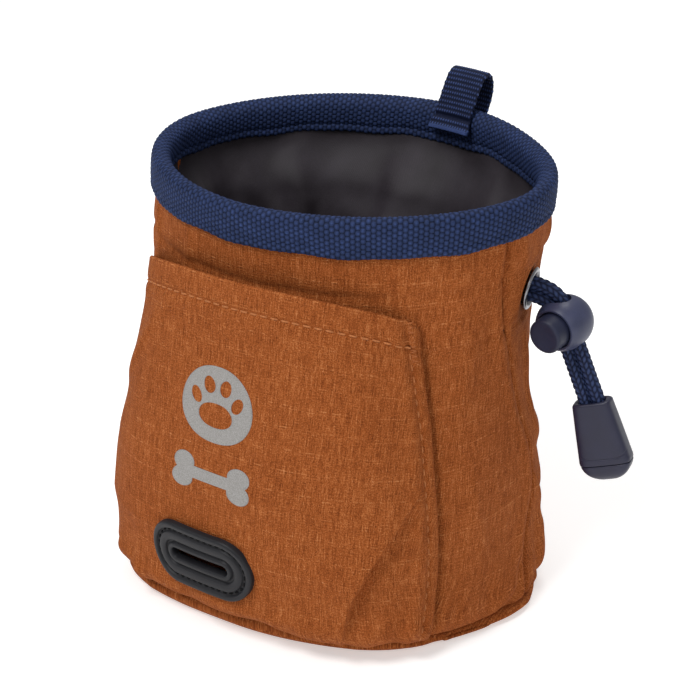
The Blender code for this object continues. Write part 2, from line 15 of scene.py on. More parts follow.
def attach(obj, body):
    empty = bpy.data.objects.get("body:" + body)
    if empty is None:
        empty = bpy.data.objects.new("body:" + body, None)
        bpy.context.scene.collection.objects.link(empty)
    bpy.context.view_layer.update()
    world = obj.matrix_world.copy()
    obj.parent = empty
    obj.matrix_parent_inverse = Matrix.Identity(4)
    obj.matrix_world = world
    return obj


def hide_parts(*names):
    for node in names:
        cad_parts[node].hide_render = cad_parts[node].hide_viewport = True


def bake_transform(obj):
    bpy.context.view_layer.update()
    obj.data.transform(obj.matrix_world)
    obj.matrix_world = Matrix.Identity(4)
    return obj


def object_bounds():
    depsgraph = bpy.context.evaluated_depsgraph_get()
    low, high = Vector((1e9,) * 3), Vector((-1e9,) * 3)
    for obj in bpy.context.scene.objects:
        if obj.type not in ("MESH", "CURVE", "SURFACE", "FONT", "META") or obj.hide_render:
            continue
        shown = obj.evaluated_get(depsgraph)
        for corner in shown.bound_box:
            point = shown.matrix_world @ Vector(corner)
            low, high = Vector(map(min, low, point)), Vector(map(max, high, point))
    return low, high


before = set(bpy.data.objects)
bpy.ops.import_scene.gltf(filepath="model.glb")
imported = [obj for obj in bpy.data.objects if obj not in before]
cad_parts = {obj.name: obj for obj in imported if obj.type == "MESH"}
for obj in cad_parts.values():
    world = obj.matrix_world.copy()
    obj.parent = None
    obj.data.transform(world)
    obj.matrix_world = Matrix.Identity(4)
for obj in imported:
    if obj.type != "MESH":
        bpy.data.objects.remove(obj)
CAD_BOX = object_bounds()
MM = 0.001

# ---------------------------------------------------------------- the camera
VIEW_AZIMUTH, VIEW_ELEVATION = math.radians(37), math.radians(23)
VIEW_DISTANCE = 0.65
VIEW_TARGET = Vector((-0.0041, 0.014, 0.0653))
VIEW_WIDTH = 0.2178  # what the picture spans at the target
SENSOR_MM = 36


def make_camera():
    lens = VIEW_DISTANCE * SENSOR_MM / VIEW_WIDTH
    data = bpy.data.cameras.new("camera")
    data.sensor_width, data.lens = SENSOR_MM, lens
    data.clip_start, data.clip_end = 0.01, 20
    camera = bpy.data.objects.new("camera", data)
    level = math.cos(VIEW_ELEVATION)
    back = Vector((math.sin(VIEW_AZIMUTH) * level, -math.cos(VIEW_AZIMUTH) * level, math.sin(VIEW_ELEVATION)))
    camera.location = VIEW_TARGET + back * VIEW_DISTANCE
    camera.rotation_euler = (-back).to_track_quat("-Z", "Y").to_euler()
    bpy.context.scene.collection.objects.link(camera)
    bpy.context.scene.camera = camera


make_camera()

# ---------------------------------------------------------------- the CAD's driving dimensions
RIM_HEIGHT, RIM_LEAN = 131 * MM, 0.054
# Height, half width, front Y, back Y, roundness of the ring, angle of the side seam in degrees
RINGS_MM = [
    (0, 59.5, -49, 49, 2.8, 4),
    (4, 61.5, -50.5, 50, 2.8, 5),
    (25, 62.5, -49, 51.5, 2.6, 11),
    (45, 62, -47, 51.5, 2.5, 14),
    (65, 60, -44.7, 48.5, 2.4, 9),
    (85, 59, -43, 48, 2.3, 3),
    (105, 61.5, -42, 53, 2.1, -6),
    (118, 63.2, -42, 57.5, 1.95, -10),
    (131, 63.9, -41.9, 59.9, 1.85, -11),
]
# Where the wall stands off its rings: the angle and how far round it reaches, in degrees, then millimetres
FOOT_BULGES_MM = [(-120, 24, 4.7), (-90, 18, 2.6), (3, 11, 6.0), (22, 14, 2.0)]
FOOT_HEIGHT = 8 * MM
MOUTH_DENTS_MM = [(165, 32, -2.0), (50, 20, -1.2)]
MOUTH_DENTS_FROM, MOUTH_DENTS_TO = 100 * MM, 128 * MM
FABRIC = 0.5 * MM  # each layer as it looks; the CAD's solid is a lined 0.8 mm
SHELL_TOP = 127.1 * MM
BASE_SEAM = 5.7 * MM

BINDING_DROP, BINDING_OUT, BINDING_IN = 10.5 * MM, 1.6 * MM, -3.7 * MM
LINING_OFFSETS_MM = [
    (3.6, -3.5), (7, -3.4), (13, -2.5), (84, -2.5), (91, -6.0), (108, -6.0), (116, -1.2), (131, -1.2),
]
DEEPEST_FOLD = 1.3 * MM  # above the base's seam, so that the cloth stays clear of the lining

POCKET_HALF_ANGLES = [(4, 62), (25, 63), (50, 61), (70, 59.8), (85, 57), (100, 52), (112, 49)]
POCKET_STAND_OFF_MM = [(4, 1.5), (12, 5.5), (30, 10.5), (50, 11), (70, 9.8), (90, 8), (111, 6.6)]
POCKET_EDGE_OFFSET, POCKET_EDGE_LIFT = 1.3 * MM, 1.9 * MM  # the CAD's, and the folded edge's
SIDE_STITCH = 4.8  # millimetres from the pocket's side edge
POCKET_TOP, POCKET_TOP_POWER = 111.9 * MM, 2.6
POCKET_DROP_LEFT, POCKET_DROP_RIGHT = 15.3 * MM, 10.3 * MM
POCKET_BOTTOM = 6.3 * MM
HEM = 8 * MM

PORT_HEIGHT, PORT_TURN = 25.3 * MM, -0.012
PORT_LENGTH, PORT_WIDTH = 38 * MM, 20.5 * MM
SLOT_LENGTH, SLOT_WIDTH = 21.5 * MM, 3.4 * MM

EYELET_HEIGHT, EYELET_ANGLE = 99.5 * MM, 13.0
EYELET_HOLE, EYELET_FLANGE, EYELET_WALL = 4.7 * MM, 6.7 * MM, 0.4 * MM

CORD_RADIUS, STRAND_OFFSET = 2 * MM, 1.92 * MM
# The middle of the pair of strands: outwards and upwards from the eyelet, in the upright plane of its axis
CORD_ROUTE_MM = [
    (-2.4, 0.4), (-1.2, 0.2), (0, 0), (1.3, -0.2), (2.6, -0.45), (4.15, -0.9), (5.6, -1.5), (6.9, -2.4),
    (7.95, -3.5), (8.8, -4.7), (9.4, -6.0), (10.05, -7.6), (10.7, -9.2), (11.85, -12.1), (13.0, -15.0),
    (15.3, -20.7), (17.6, -26.5), (19.9, -32.3), (21.1, -36.4), (22.3, -40.7),
]
LOCK_STOP, CORD_END_STOP = 12, 17
HIDDEN_RUN_CLEAR = 9.0

LOCK_RADIUS, LOCK_BACK, LOCK_FACE, LOCK_ROUNDNESS = 8.0 * MM, -8.4 * MM, 5.8 * MM, 2.3
LOCK_TURN = math.radians(18)
LOCK_BORE, LOCK_BORE_FLOOR = 5.55 * MM, -6.0 * MM
LOCK_SLOT_ACROSS, LOCK_SLOT_DEEP = (-5.5 * MM, 4.6 * MM), 3.2 * MM
BUTTON_RADIUS, BUTTON_BOTTOM, BUTTON_TOP = 5.2 * MM, -3.7 * MM, 10.8 * MM
BUTTON_SLOT, BUTTON_SLOT_HALF = (-2.9 * MM, 4.8 * MM), 4.45 * MM
SPRING_RADIUS, SPRING_WIRE, SPRING_TURNS, SPRING_GAP = 3.6 * MM, 0.22 * MM, 2, 0.05 * MM

END_LENGTH, END_TOP_WIDTH, END_LOW_WIDTH, END_THICK = 25 * MM, 11.5 * MM, 15.8 * MM, 7.4 * MM
END_LID, END_TILT, END_POCKET_DEPTH = 5.5 * MM, math.radians(5.5), 9 * MM
END_SQUARENESS = 0.45

LOOP_ANGLE, LOOP_HALF_ANGLE, LOOP_TAPE = 84.5, 7.3, 1.4 * MM
LOOP_LINE_MM = [
    (53.1, 126.4), (53.4, 128.2), (54.0, 130.8), (55.1, 133.6), (57.0, 137.0), (59.3, 140.8), (61.8, 144.0),
    (64.4, 145.1), (66.6, 143.7), (67.3, 140.6), (66.4, 137.0), (64.4, 133.4), (62.4, 130), (61.2, 127),
    (60.6, 124.2),
]

LOOP_FOOT_MM = [(51.9, 128.6), (52.6, 129.9), (53.5, 131.3), (54.6, 132.7)]  # its sewn end, as it lies on the tape
LOOP_SEWN = 4.6 * MM  # along the tape from that end

# ---------------------------------------------------------------- the bag's shape
RING_TABLE = np.array(RINGS_MM, float)
RING_HEIGHTS = RING_TABLE[:, 0] * MM
RING_VALUES = RING_TABLE[:, 1:] * np.array([MM, MM, MM, 1, 1])
RING_SLOPES = np.gradient(RING_VALUES, RING_HEIGHTS, axis=0)


def ring_values(z):
    """Half width, front, back, roundness and seam angle at each height, on a smooth curve through the rings."""
    z = np.clip(z, RING_HEIGHTS[0], RING_HEIGHTS[-1])
    i = np.clip(np.searchsorted(RING_HEIGHTS, z) - 1, 0, len(RING_HEIGHTS) - 2)
    step = RING_HEIGHTS[i + 1] - RING_HEIGHTS[i]
    u = ((z - RING_HEIGHTS[i]) / step)[..., None]
    step = step[..., None]
    return (
        (2 * u**3 - 3 * u**2 + 1) * RING_VALUES[i]
        + (u**3 - 2 * u**2 + u) * step * RING_SLOPES[i]
        + (3 * u**2 - 2 * u**3) * RING_VALUES[i + 1]
        + (u**3 - u**2) * step * RING_SLOPES[i + 1]
    )


def bulge(places, degrees):
    """A sum of smooth bulges round the bag, in metres."""
    found = 0.0
    for middle, reach, height in places:
        away = (degrees - middle + 180) % 360 - 180
        found = found + height * MM * np.exp(-((away / reach) ** 2))
    return found


def spread(*values):
    return np.broadcast_arrays(*[np.asarray(value, float) for value in values])


def wall(z, degrees, offset=0.0):
    """Points on the bag's wall: 0 degrees is its right side and -90 its front. offset is outwards."""
    z, degrees, offset = spread(z, degrees, offset)
    offset = offset + bulge(FOOT_BULGES_MM, degrees) * np.exp(-((z / FOOT_HEIGHT) ** 2))
    offset = offset + bulge(MOUTH_DENTS_MM, degrees) * smooth(z, MOUTH_DENTS_FROM, MOUTH_DENTS_TO)
    half_width, front, back, roundness, _ = np.moveaxis(ring_values(z), -1, 0)
    half_depth = (back - front) / 2
    c, s = np.cos(np.radians(degrees)), np.sin(np.radians(degrees))
    x = half_width * np.sign(c) * abs(c) ** (2 / roundness)
    y = half_depth * np.sign(s) * abs(s) ** (2 / roundness)
    normal_x = np.sign(c) * abs(c) ** (2 - 2 / roundness) / half_width
    normal_y = np.sign(s) * abs(s) ** (2 - 2 / roundness) / half_depth
    length = np.hypot(normal_x, normal_y)
    x = x + offset * normal_x / length
    y = y + offset * normal_y / length + (front + back) / 2
    return np.stack([x, y, z + RIM_LEAN * y * z / RIM_HEIGHT], -1)


def seam_angle(z):
    return ring_values(np.asarray(z, float))[..., 4]


def smooth(x, low, high):
    """0 below low, 1 above high, and a smooth step between."""
    u = np.clip((np.asarray(x, float) - low) / (high - low), 0, 1)
    return u * u * (3 - 2 * u)


def bell(x, middle, width):
    return np.exp(-(((np.asarray(x, float) - middle) / width) ** 2))


def ripple(x, waves):
    """A sum of sines: each wave is (how long it is, how high, where it starts)."""
    return sum(height * np.sin(2 * math.pi * np.asarray(x, float) / length + start) for length, height, start in waves)


def crease(x, z, line, width, height, steep=0.0):
    """A crease along a line of points, high in the middle and fading at its ends.

    steep, from -1 to 1, narrows the side to the right of the line's direction and widens the other.
    """
    x, z = spread(x, z)
    nearest = np.full(x.shape, 1e9)
    side, share = np.zeros(x.shape), np.zeros(x.shape)
    lengths = [math.dist(p, q) for p, q in zip(line, line[1:])]
    run = 0.0
    for (p, q), length in zip(zip(line, line[1:]), lengths):
        dx, dz = q[0] - p[0], q[1] - p[1]
        t = np.clip(((x - p[0]) * dx + (z - p[1]) * dz) / length**2, 0, 1)
        away_x, away_z = x - p[0] - t * dx, z - p[1] - t * dz
        distance = np.hypot(away_x, away_z)
        closer = distance < nearest
        nearest = np.where(closer, distance, nearest)
        side = np.where(closer, np.sign(dx * away_z - dz * away_x), side)
        share = np.where(closer, (run + t * length) / sum(lengths), share)
        run += length
    fade = np.sin(math.pi * np.clip(share, 0.02, 0.98)) ** 0.7
    spread_out = width * (1 + steep * side)
    return height * fade * np.exp(-((nearest / spread_out) ** 2))


def overlap(x, z, line, width, height, steep=0.45):
    """A fold laid over what is to the right of a line: it swells up to the line and drops beyond it."""
    left = crease(x, z, line, width, height, 1e-6)
    right = crease(x, z, line, steep, height)
    hollow = crease(x, z, line, 3.5, -0.35 * height)
    return np.where(left_of(x, z, line), left, right + hollow * (1 - right / max(height, 1e-6)))


def left_of(x, z, line):
    """Whether each point lies to the left of a line of points."""
    x, z = spread(x, z)
    nearest, left = np.full(x.shape, 1e9), np.zeros(x.shape, bool)
    for p, q in zip(line, line[1:]):
        dx, dz = q[0] - p[0], q[1] - p[1]
        t = np.clip(((x - p[0]) * dx + (z - p[1]) * dz) / (dx * dx + dz * dz), 0, 1)
        away_x, away_z = x - p[0] - t * dx, z - p[1] - t * dz
        distance = np.hypot(away_x, away_z)
        left = np.where(distance < nearest, dx * away_z - dz * away_x > 0, left)
        nearest = np.minimum(distance, nearest)
    return left


# ---------------------------------------------------------------- the cloth's folds
SEAM_PUCKER = [(19, 0.5, 0.4), (11.3, 0.35, 1.3), (7.1, 0.2, 2.2)]


def base_seam(degrees):
    """How far the base's seam wanders up and down round the bag, in millimetres."""
    a = (np.asarray(degrees, float) + 180) % 360 - 180
    wander = 0.6 * ripple(a, [(45, 1, 0.6), (20, 0.6, 2.1), (12, 0.35, 0.2)])
    return np.maximum(wander + 1.0 * bell(a, -112, 24) - 2.7 * bell(a, -5, 48), -3.0)


def bag_folds(z, degrees):
    """How far the bag's outer cloth stands off its plain shape, in metres."""
    z, degrees = spread(z, degrees)
    h, a = z / MM, degrees
    seam = seam_angle(z)
    right, left = a - seam, (a + 180 + seam + 180) % 360 - 180
    out = np.zeros(h.shape)
    # The side seams pull in, with a soft roll in front of each
    for across, front in ((right, -1), (left, 1)):
        pull = 0.85 + 0.35 * smooth(h, 60, 20) + 0.15 * ripple(h, [(8.5, 1, 0.3)])
        out -= 1.7 * pull * bell(across, 0, 0.9)
        out += 0.9 * bell(across, front * 3.6, 2.6) + 0.25 * bell(across, -front * 4.5, 3.0)
    # The pocket's side edges press the cloth in beside them
    under = smooth(h, 105, 98) * smooth(h, 5, 12)
    for side in (-1, 1):
        edge = pocket_angle(z, side)
        out -= 1.0 * under * bell((a - edge + 180) % 360 - 180, side * 0.7, 1.3)
    # The wall is gathered into the base's seam
    out -= 2.2 * np.exp(-np.maximum(h - 5.7, 0) / 1.3)
    gather = ripple(a, SEAM_PUCKER)
    out += (0.8 + 0.8 * gather) * bell(h, 11.0, 5.0) + 0.35 * gather * bell(h, 24, 11)
    # The drawcord's channel draws the neck into shallow upright pleats
    out += 0.40 * ripple(a, [(23, 1, 0.8), (13.7, 0.55, 2.0)]) * bell(h, 98, 17)
    out -= 0.45 * bell(h, 91.5, 1.2) + 0.45 * bell(h, 108.5, 1.2)
    out += 0.9 * bell(a, 30, 18) * bell(h, 112.5, 5) - 1.5 * bell(a, 33, 20) * bell(h, 66, 8)
    # Its left foot tucks in, and the front panel's edge laps over at the right one
    out -= 2.6 * bell(a, -150, 14) * bell(h, 6, 10)
    out += crease(a, h, [(6, 17), (3, 10), (-3, 3)], 1.5, -1.7)
    # Pleats spread from the eyelet
    out -= 1.3 * bell(np.hypot(a - EYELET_ANGLE, h - 99.5), 0, 7.5)
    out += 0.6 * bell(np.hypot(a - EYELET_ANGLE, h - 99.5), 9.5, 2.6)
    out += crease(a, h, [(17, 90), (20, 76), (23, 60), (24, 46)], 3.2, 1.3, 0.25)
    out += crease(a, h, [(29, 92), (37, 74), (42, 56)], 3.8, 1.3)
    out += crease(a, h, [(22, 108), (30, 118), (34, 124)], 3.0, 0.8)
    out += crease(a, h, [(4, 107), (-1, 116), (-3, 123)], 2.6, 0.7)
    # Low on the right the cloth bulges, with level creases
    level = 0.75 * ripple(h, [(16.5, 1, 1.2), (9.7, 0.3, 0.4)]) * smooth(h, 8, 20) * smooth(h, 62, 44)
    out += level * bell(a, 31, 10)
    out += overlap(a, h, [(29, 6), (26, 14), (23, 24), (19, 34), (13, 44)], 6.0, 1.5)
    out += crease(a, h, [(2, 12), (-6, 23), (-12, 40), (-14, 56)], 4.0, 0.7, 0.3)
    out += crease(a, h, [(-20, 66), (-15, 84), (-12, 100)], 5.0, 0.6)
    out += crease(a, h, [(-28, 118), (-24, 104), (-20, 90)], 4.0, 0.5)
    # The left side, and the back
    out += crease(a, h, [(-150, 118), (-146, 108), (-143, 96)], 2.6, 0.9)
    out += crease(a, h, [(-136, 121), (-133.5, 114), (-132, 104)], 1.8, 0.8)
    out += crease(a, h, [(-112, 119), (-110, 112), (-113, 105)], 2.4, 0.5)
    out += crease(a, h, [(62, 94), (58, 72), (63, 50)], 6.0, 1.2)
    out += crease(a, h, [(97, 92), (102, 70), (98, 44)], 7.0, 1.0)
    out += crease(a, h, [(140, 95), (134, 74), (137, 52), (131, 30)], 6.0, 1.4, 0.3)
    out += crease(a, h, [(-171, 94), (-169, 74), (-174, 54)], 4.5, 1.2)
    out += crease(a, h, [(75, 10), (84, 22), (88, 36)], 4.5, 0.9)
    return np.where(h > 12, np.maximum(out * MM, -DEEPEST_FOLD), out * MM)


def lifted(z, degrees):
    """A height on the cloth, moved up or down with the base's seam near it."""
    return z + base_seam(degrees) * MM * smooth(z, 18 * MM, 5 * MM)


def bag(z, degrees, offset=0.0):
    return wall(lifted(z, degrees), degrees, offset + bag_folds(z, degrees))


def pocket_top(turn):
    drop = np.where(turn < 0, POCKET_DROP_LEFT, POCKET_DROP_RIGHT)
    corner = 1.2 * MM * smooth(abs(turn), 0.93, 1.0)
    return POCKET_TOP - drop * abs(turn) ** POCKET_TOP_POWER - corner


def pocket_angle(z, turn):
    spans = np.array(POCKET_HALF_ANGLES)
    return -90 + turn * np.interp(z / MM, spans[:, 0], spans[:, 1])


def pocket_folds(z, turn):
    """How far the pocket's cloth stands off its plain shape, in metres. x is millimetres round it."""
    z, turn = spread(z, turn)
    h, x = z / MM, 66 * turn
    edge = 66 * (1 - abs(turn))
    below_top = (pocket_top(turn) - z) / MM
    out = np.zeros(h.shape)
    # Caught in the base's seam
    out -= 2.8 * np.exp(-np.maximum(h - 5.9, 0) / 1.2)
    gather = ripple(x, SEAM_PUCKER)
    out += (0.7 + 0.8 * gather) * bell(h, 10.5, 4.6) + 0.3 * gather * bell(h, 20, 9)
    # The topstitching beside each edge, and under the hem
    pucker = ripple(h, [(9.7, 1, 0.5), (6.1, 0.6, 1.4)]) * smooth(x, -64, -20)
    out -= (0.85 + 0.2 * pucker) * bell(edge, SIDE_STITCH, 1.0) * smooth(h, 6, 13)
    out += 0.55 * bell(edge, SIDE_STITCH + 3.4, 2.4) * (1 + 0.6 * pucker)
    out -= 0.5 * bell(below_top, 8.0, 0.7)
    out += 0.25 * bell(below_top, 10.6, 1.9) + 0.2 * bell(below_top, 5.0, 2.4)
    # A pleat laid over to the right, from the lower right side down to the base
    out += overlap(x, h, [(33.0, 4), (34.2, 12), (36.8, 24), (42.0, 34), (49, 43), (56, 50)], 8.0, 2.8, 0.38)
    out += crease(x, h, [(47, 30), (53, 41), (58, 52)], 2.6, -0.6)
    # The facet at the upper left, where the pocket turns to the side
    out += crease(x, h, [(-20, 100), (-26.5, 93), (-36.5, 77), (-46, 64)], 3.0, 1.3, -0.3)
    # Its left side hangs in
    out -= (3.2 * bell(h, 90, 22) + 2.6 * bell(h, 8, 13) + 2.4 * bell(h, 30, 17) + 1.4 * bell(h, 62, 9) + 0.9) * bell(x, -60, 17)
    # Soft drags
    out += crease(x, h, [(-46, 12), (-43, 28), (-46, 48)], 3.6, 0.8)
    out += crease(x, h, [(16, 88), (20, 66), (16, 44), (20, 24)], 8.0, 0.7)
    out += crease(x, h, [(40, 90), (45, 74), (48, 58)], 4.5, 0.8)
    out += crease(x, h, [(-16, 12), (-20, 10), (-30, 12.5)], 2.0, 0.8)
    out += crease(x, h, [(20, 13.5), (9, 10), (1, 11)], 2.2, 0.7)
    out += 0.3 * ripple(x, [(31, 1, 0.3)]) * bell(h, 60, 32)
    return out * MM


def pocket(z, turn, extra=0.0, lift=None):
    """A point on the pocket: turn is -1 at its left edge and 1 at its right one."""
    z, turn, extra, lift = spread(z, turn, extra, POCKET_EDGE_LIFT if lift is None else lift)
    stand_off = np.interp(z / MM, *np.array(POCKET_STAND_OFF_MM, float).T) * MM
    offset = stand_off * (1 - abs(turn) ** 3) + lift
    angle = pocket_angle(z, turn)
    return wall(lifted(z, angle), angle, offset + pocket_folds(z, turn) + extra)


# ---------------------------------------------------------------- meshes
def add(name, mesh):
    made = bpy.data.objects.new(name, mesh)
    bpy.context.scene.collection.objects.link(made)
    return made


def shade_smooth(mesh, sharp=None):
    mesh.shade_smooth()
    if sharp:
        mesh.set_sharp_from_angle(angle=math.radians(sharp))


def sheet(name, points, uv=None, wrap=False, values=None):
    """A sheet of quads through rows of points. wrap joins the last column to the first.

    uv, in millimetres, has one column more than the points where they wrap. values is kept as "relief".
    """
    rows, columns = points.shape[:2]
    i, j = np.meshgrid(np.arange(rows - 1), np.arange(columns if wrap else columns - 1), indexing="ij")
    k = (j + 1) % columns
    corners = np.stack([i * columns + j, i * columns + k, (i + 1) * columns + k, (i + 1) * columns + j], -1)
    mesh = bpy.data.meshes.new(name)
    mesh.from_pydata(points.reshape(-1, 3).tolist(), [], corners.reshape(-1, 4).tolist())
    if uv is not None:
        layer = mesh.uv_layers.new(name="cloth")
        found = np.stack([uv[i, j], uv[i, j + 1], uv[i + 1, j + 1], uv[i + 1, j]], -2)
        layer.data.foreach_set("uv", found.ravel())
    if values is not None:
        mesh.attributes.new("relief", "FLOAT", "POINT").data.foreach_set("value", values.ravel())
    shade_smooth(mesh)
    return add(name, mesh)


def thicken(made, thickness, side=-1):
    modifier = made.modifiers.new("thickness", "SOLIDIFY")
    modifier.thickness, modifier.offset = thickness, side
    modifier.use_quality_normals = True
    return made


def arc_uv(points, middle=None):
    """Millimetres along each row from its middle column, and up the middle column."""
    rows, columns = points.shape[:2]
    middle = columns // 2 if middle is None else middle
    steps = np.linalg.norm(np.diff(points, axis=1), axis=-1)
    u = np.concatenate([np.zeros((rows, 1)), np.cumsum(steps, 1)], 1)
    u -= u[:, middle : middle + 1]
    rise = np.linalg.norm(np.diff(points[:, middle], axis=0), axis=-1)
    v = np.concatenate([[0], np.cumsum(rise)])[:, None] + 0 * u
    return np.stack([u, v], -1) / MM


def closed_uv(points, round_it):
    """The same for rows that wrap, with every row stretched to one length round."""
    columns = points.shape[1]
    around = np.linalg.norm(np.diff(np.concatenate([points, points[:, :1]], 1), axis=1), axis=-1)
    u = np.concatenate([[0], np.cumsum(around[round_it])])[None, :]
    rise = np.linalg.norm(np.diff(points[:, columns // 4], axis=0), axis=-1)
    v = np.concatenate([[0], np.cumsum(rise)])[:, None]
    return np.stack(np.broadcast_arrays(u, v), -1) / MM


def normals_of(function, a, b, step_a, step_b):
    """The outward unit normals of a surface function at (a, b)."""
    along = function(a, b + step_b) - function(a, b - step_b)
    up = function(a + step_a, b) - function(a - step_a, b)
    found = np.cross(along, up)
    return found / np.linalg.norm(found, axis=-1, keepdims=True)


def resample(line, places):
    """Points along a polyline at these distances from its start."""
    line = np.asarray(line, float)
    run = np.concatenate([[0], np.cumsum(np.linalg.norm(np.diff(line, axis=0), axis=1))])
    return np.stack([np.interp(places, run, line[:, axis]) for axis in range(line.shape[1])], -1)


def length_of(line):
    return float(np.linalg.norm(np.diff(np.asarray(line, float), axis=0), axis=1).sum())


THREAD_SIDES, THREAD_RINGS = 8, 7


def threads(name, starts, ends, ups, radius, lift=0.35):
    """Short stitches in one mesh, each a rounded thread that rises out of the cloth and dips back into it."""
    starts, ends, ups = (np.asarray(x, float) for x in (starts, ends, ups))
    axis = ends - starts
    across = np.cross(axis, ups)
    across /= np.linalg.norm(across, axis=1, keepdims=True)
    up = np.cross(across, axis)
    up /= np.linalg.norm(up, axis=1, keepdims=True)
    share = np.linspace(0, 1, THREAD_RINGS)
    x = 2 * share - 1
    size = radius * np.sqrt(np.clip(1 - abs(x) ** 5, 0.03, 1))
    rise = radius * (lift + 0.5 - 1.1 * x**4)
    angle = 2 * math.pi * np.arange(THREAD_SIDES) / THREAD_SIDES
    centre = starts[:, None] + axis[:, None] * share[None, :, None] + up[:, None] * rise[None, :, None]
    ring = across[:, None, None] * np.cos(angle)[None, None, :, None]
    ring = ring + up[:, None, None] * np.sin(angle)[None, None, :, None]
    points = centre[:, :, None] + ring * size[None, :, None, None]
    each = THREAD_RINGS * THREAD_SIDES
    i, j = np.meshgrid(np.arange(THREAD_RINGS - 1), np.arange(THREAD_SIDES), indexing="ij")
    k = (j + 1) % THREAD_SIDES
    quads = np.stack(
        [i * THREAD_SIDES + j, i * THREAD_SIDES + k, (i + 1) * THREAD_SIDES + k, (i + 1) * THREAD_SIDES + j], -1
    ).reshape(-1, 4)
    first, last = list(range(THREAD_SIDES))[::-1], list(range(each - THREAD_SIDES, each))
    faces = []
    for number in range(len(starts)):
        faces += (quads + number * each).tolist()
        faces += [[f + number * each for f in first], [f + number * each for f in last]]
    mesh = bpy.data.meshes.new(name)
    mesh.from_pydata(points.reshape(-1, 3).tolist(), [], faces)
    shade_smooth(mesh)
    return add(name, mesh)


def stitches(name, line, ups, pitch, share, radius, lift=0.35):
    """A row of stitches along a line on the cloth."""
    total = length_of(line)
    count = max(int(total / pitch), 1)
    middles = (np.arange(count) + 0.5) * total / count
    half = share * pitch / 2
    run = np.concatenate([[0], np.cumsum(np.linalg.norm(np.diff(line, axis=0), axis=1))])
    up = np.stack([np.interp(middles, run, ups[:, axis]) for axis in range(3)], -1)
    return threads(name, resample(line, middles - half), resample(line, middles + half), up, radius, lift)


def placed(points, matrix):
    """Points in a frame's own axes, brought into the world."""
    turn, move = np.array(matrix.to_3x3()), np.array(matrix.translation)
    return np.asarray(points, float) @ turn.T + move


def frame_of(origin, x_axis, z_axis):
    z = Vector(z_axis).normalized()
    x = (Vector(x_axis) - Vector(x_axis).dot(z) * z).normalized()
    turn = Matrix((x, z.cross(x), z)).transposed().to_4x4()
    return Matrix.Translation(Vector(origin)) @ turn


def smooth_profile(points, spacing):
    """Points along a Catmull-Rom curve through the given ones."""
    points = np.asarray(points, float)
    route = np.concatenate([[2 * points[0] - points[1]], points, [2 * points[-1] - points[-2]]])
    found = []
    for before, start, end, after in zip(route, route[1:], route[2:], route[3:]):
        count = max(int(np.linalg.norm(end - start) / spacing), 1)
        u = (np.arange(count) / count)[:, None]
        slope_in, slope_out = (end - before) / 2, (after - start) / 2
        found.append(
            (2 * u**3 - 3 * u**2 + 1) * start
            + (u**3 - 2 * u**2 + u) * slope_in
            + (3 * u**2 - 2 * u**3) * end
            + (u**3 - u**2) * slope_out
        )
    return np.concatenate([*found, points[-1:]])


def turned(name, profile, matrix, steps=96, closed=True):
    """A turned piece from (radius, height) points that run down its outer side."""
    profile = np.asarray(profile, float)
    if closed:
        profile = np.concatenate([profile, profile[:1]])
    angle = 2 * math.pi * np.arange(steps) / steps
    rows = np.stack(
        [
            profile[:, :1] * np.cos(angle),
            profile[:, :1] * np.sin(angle),
            profile[:, 1:] + 0 * angle,
        ],
        -1,
    )
    made = sheet(name, placed(rows[::-1], matrix), wrap=True)
    weld(made)
    return made


def weld(made, distance=1e-6):
    """Joins doubled points, closes open rings and points every face outwards."""
    shape = bmesh.new()
    shape.from_mesh(made.data)
    bmesh.ops.remove_doubles(shape, verts=shape.verts, dist=distance)
    bmesh.ops.recalc_face_normals(shape, faces=shape.faces)
    shape.to_mesh(made.data)
    shape.free()
    made.data.update()


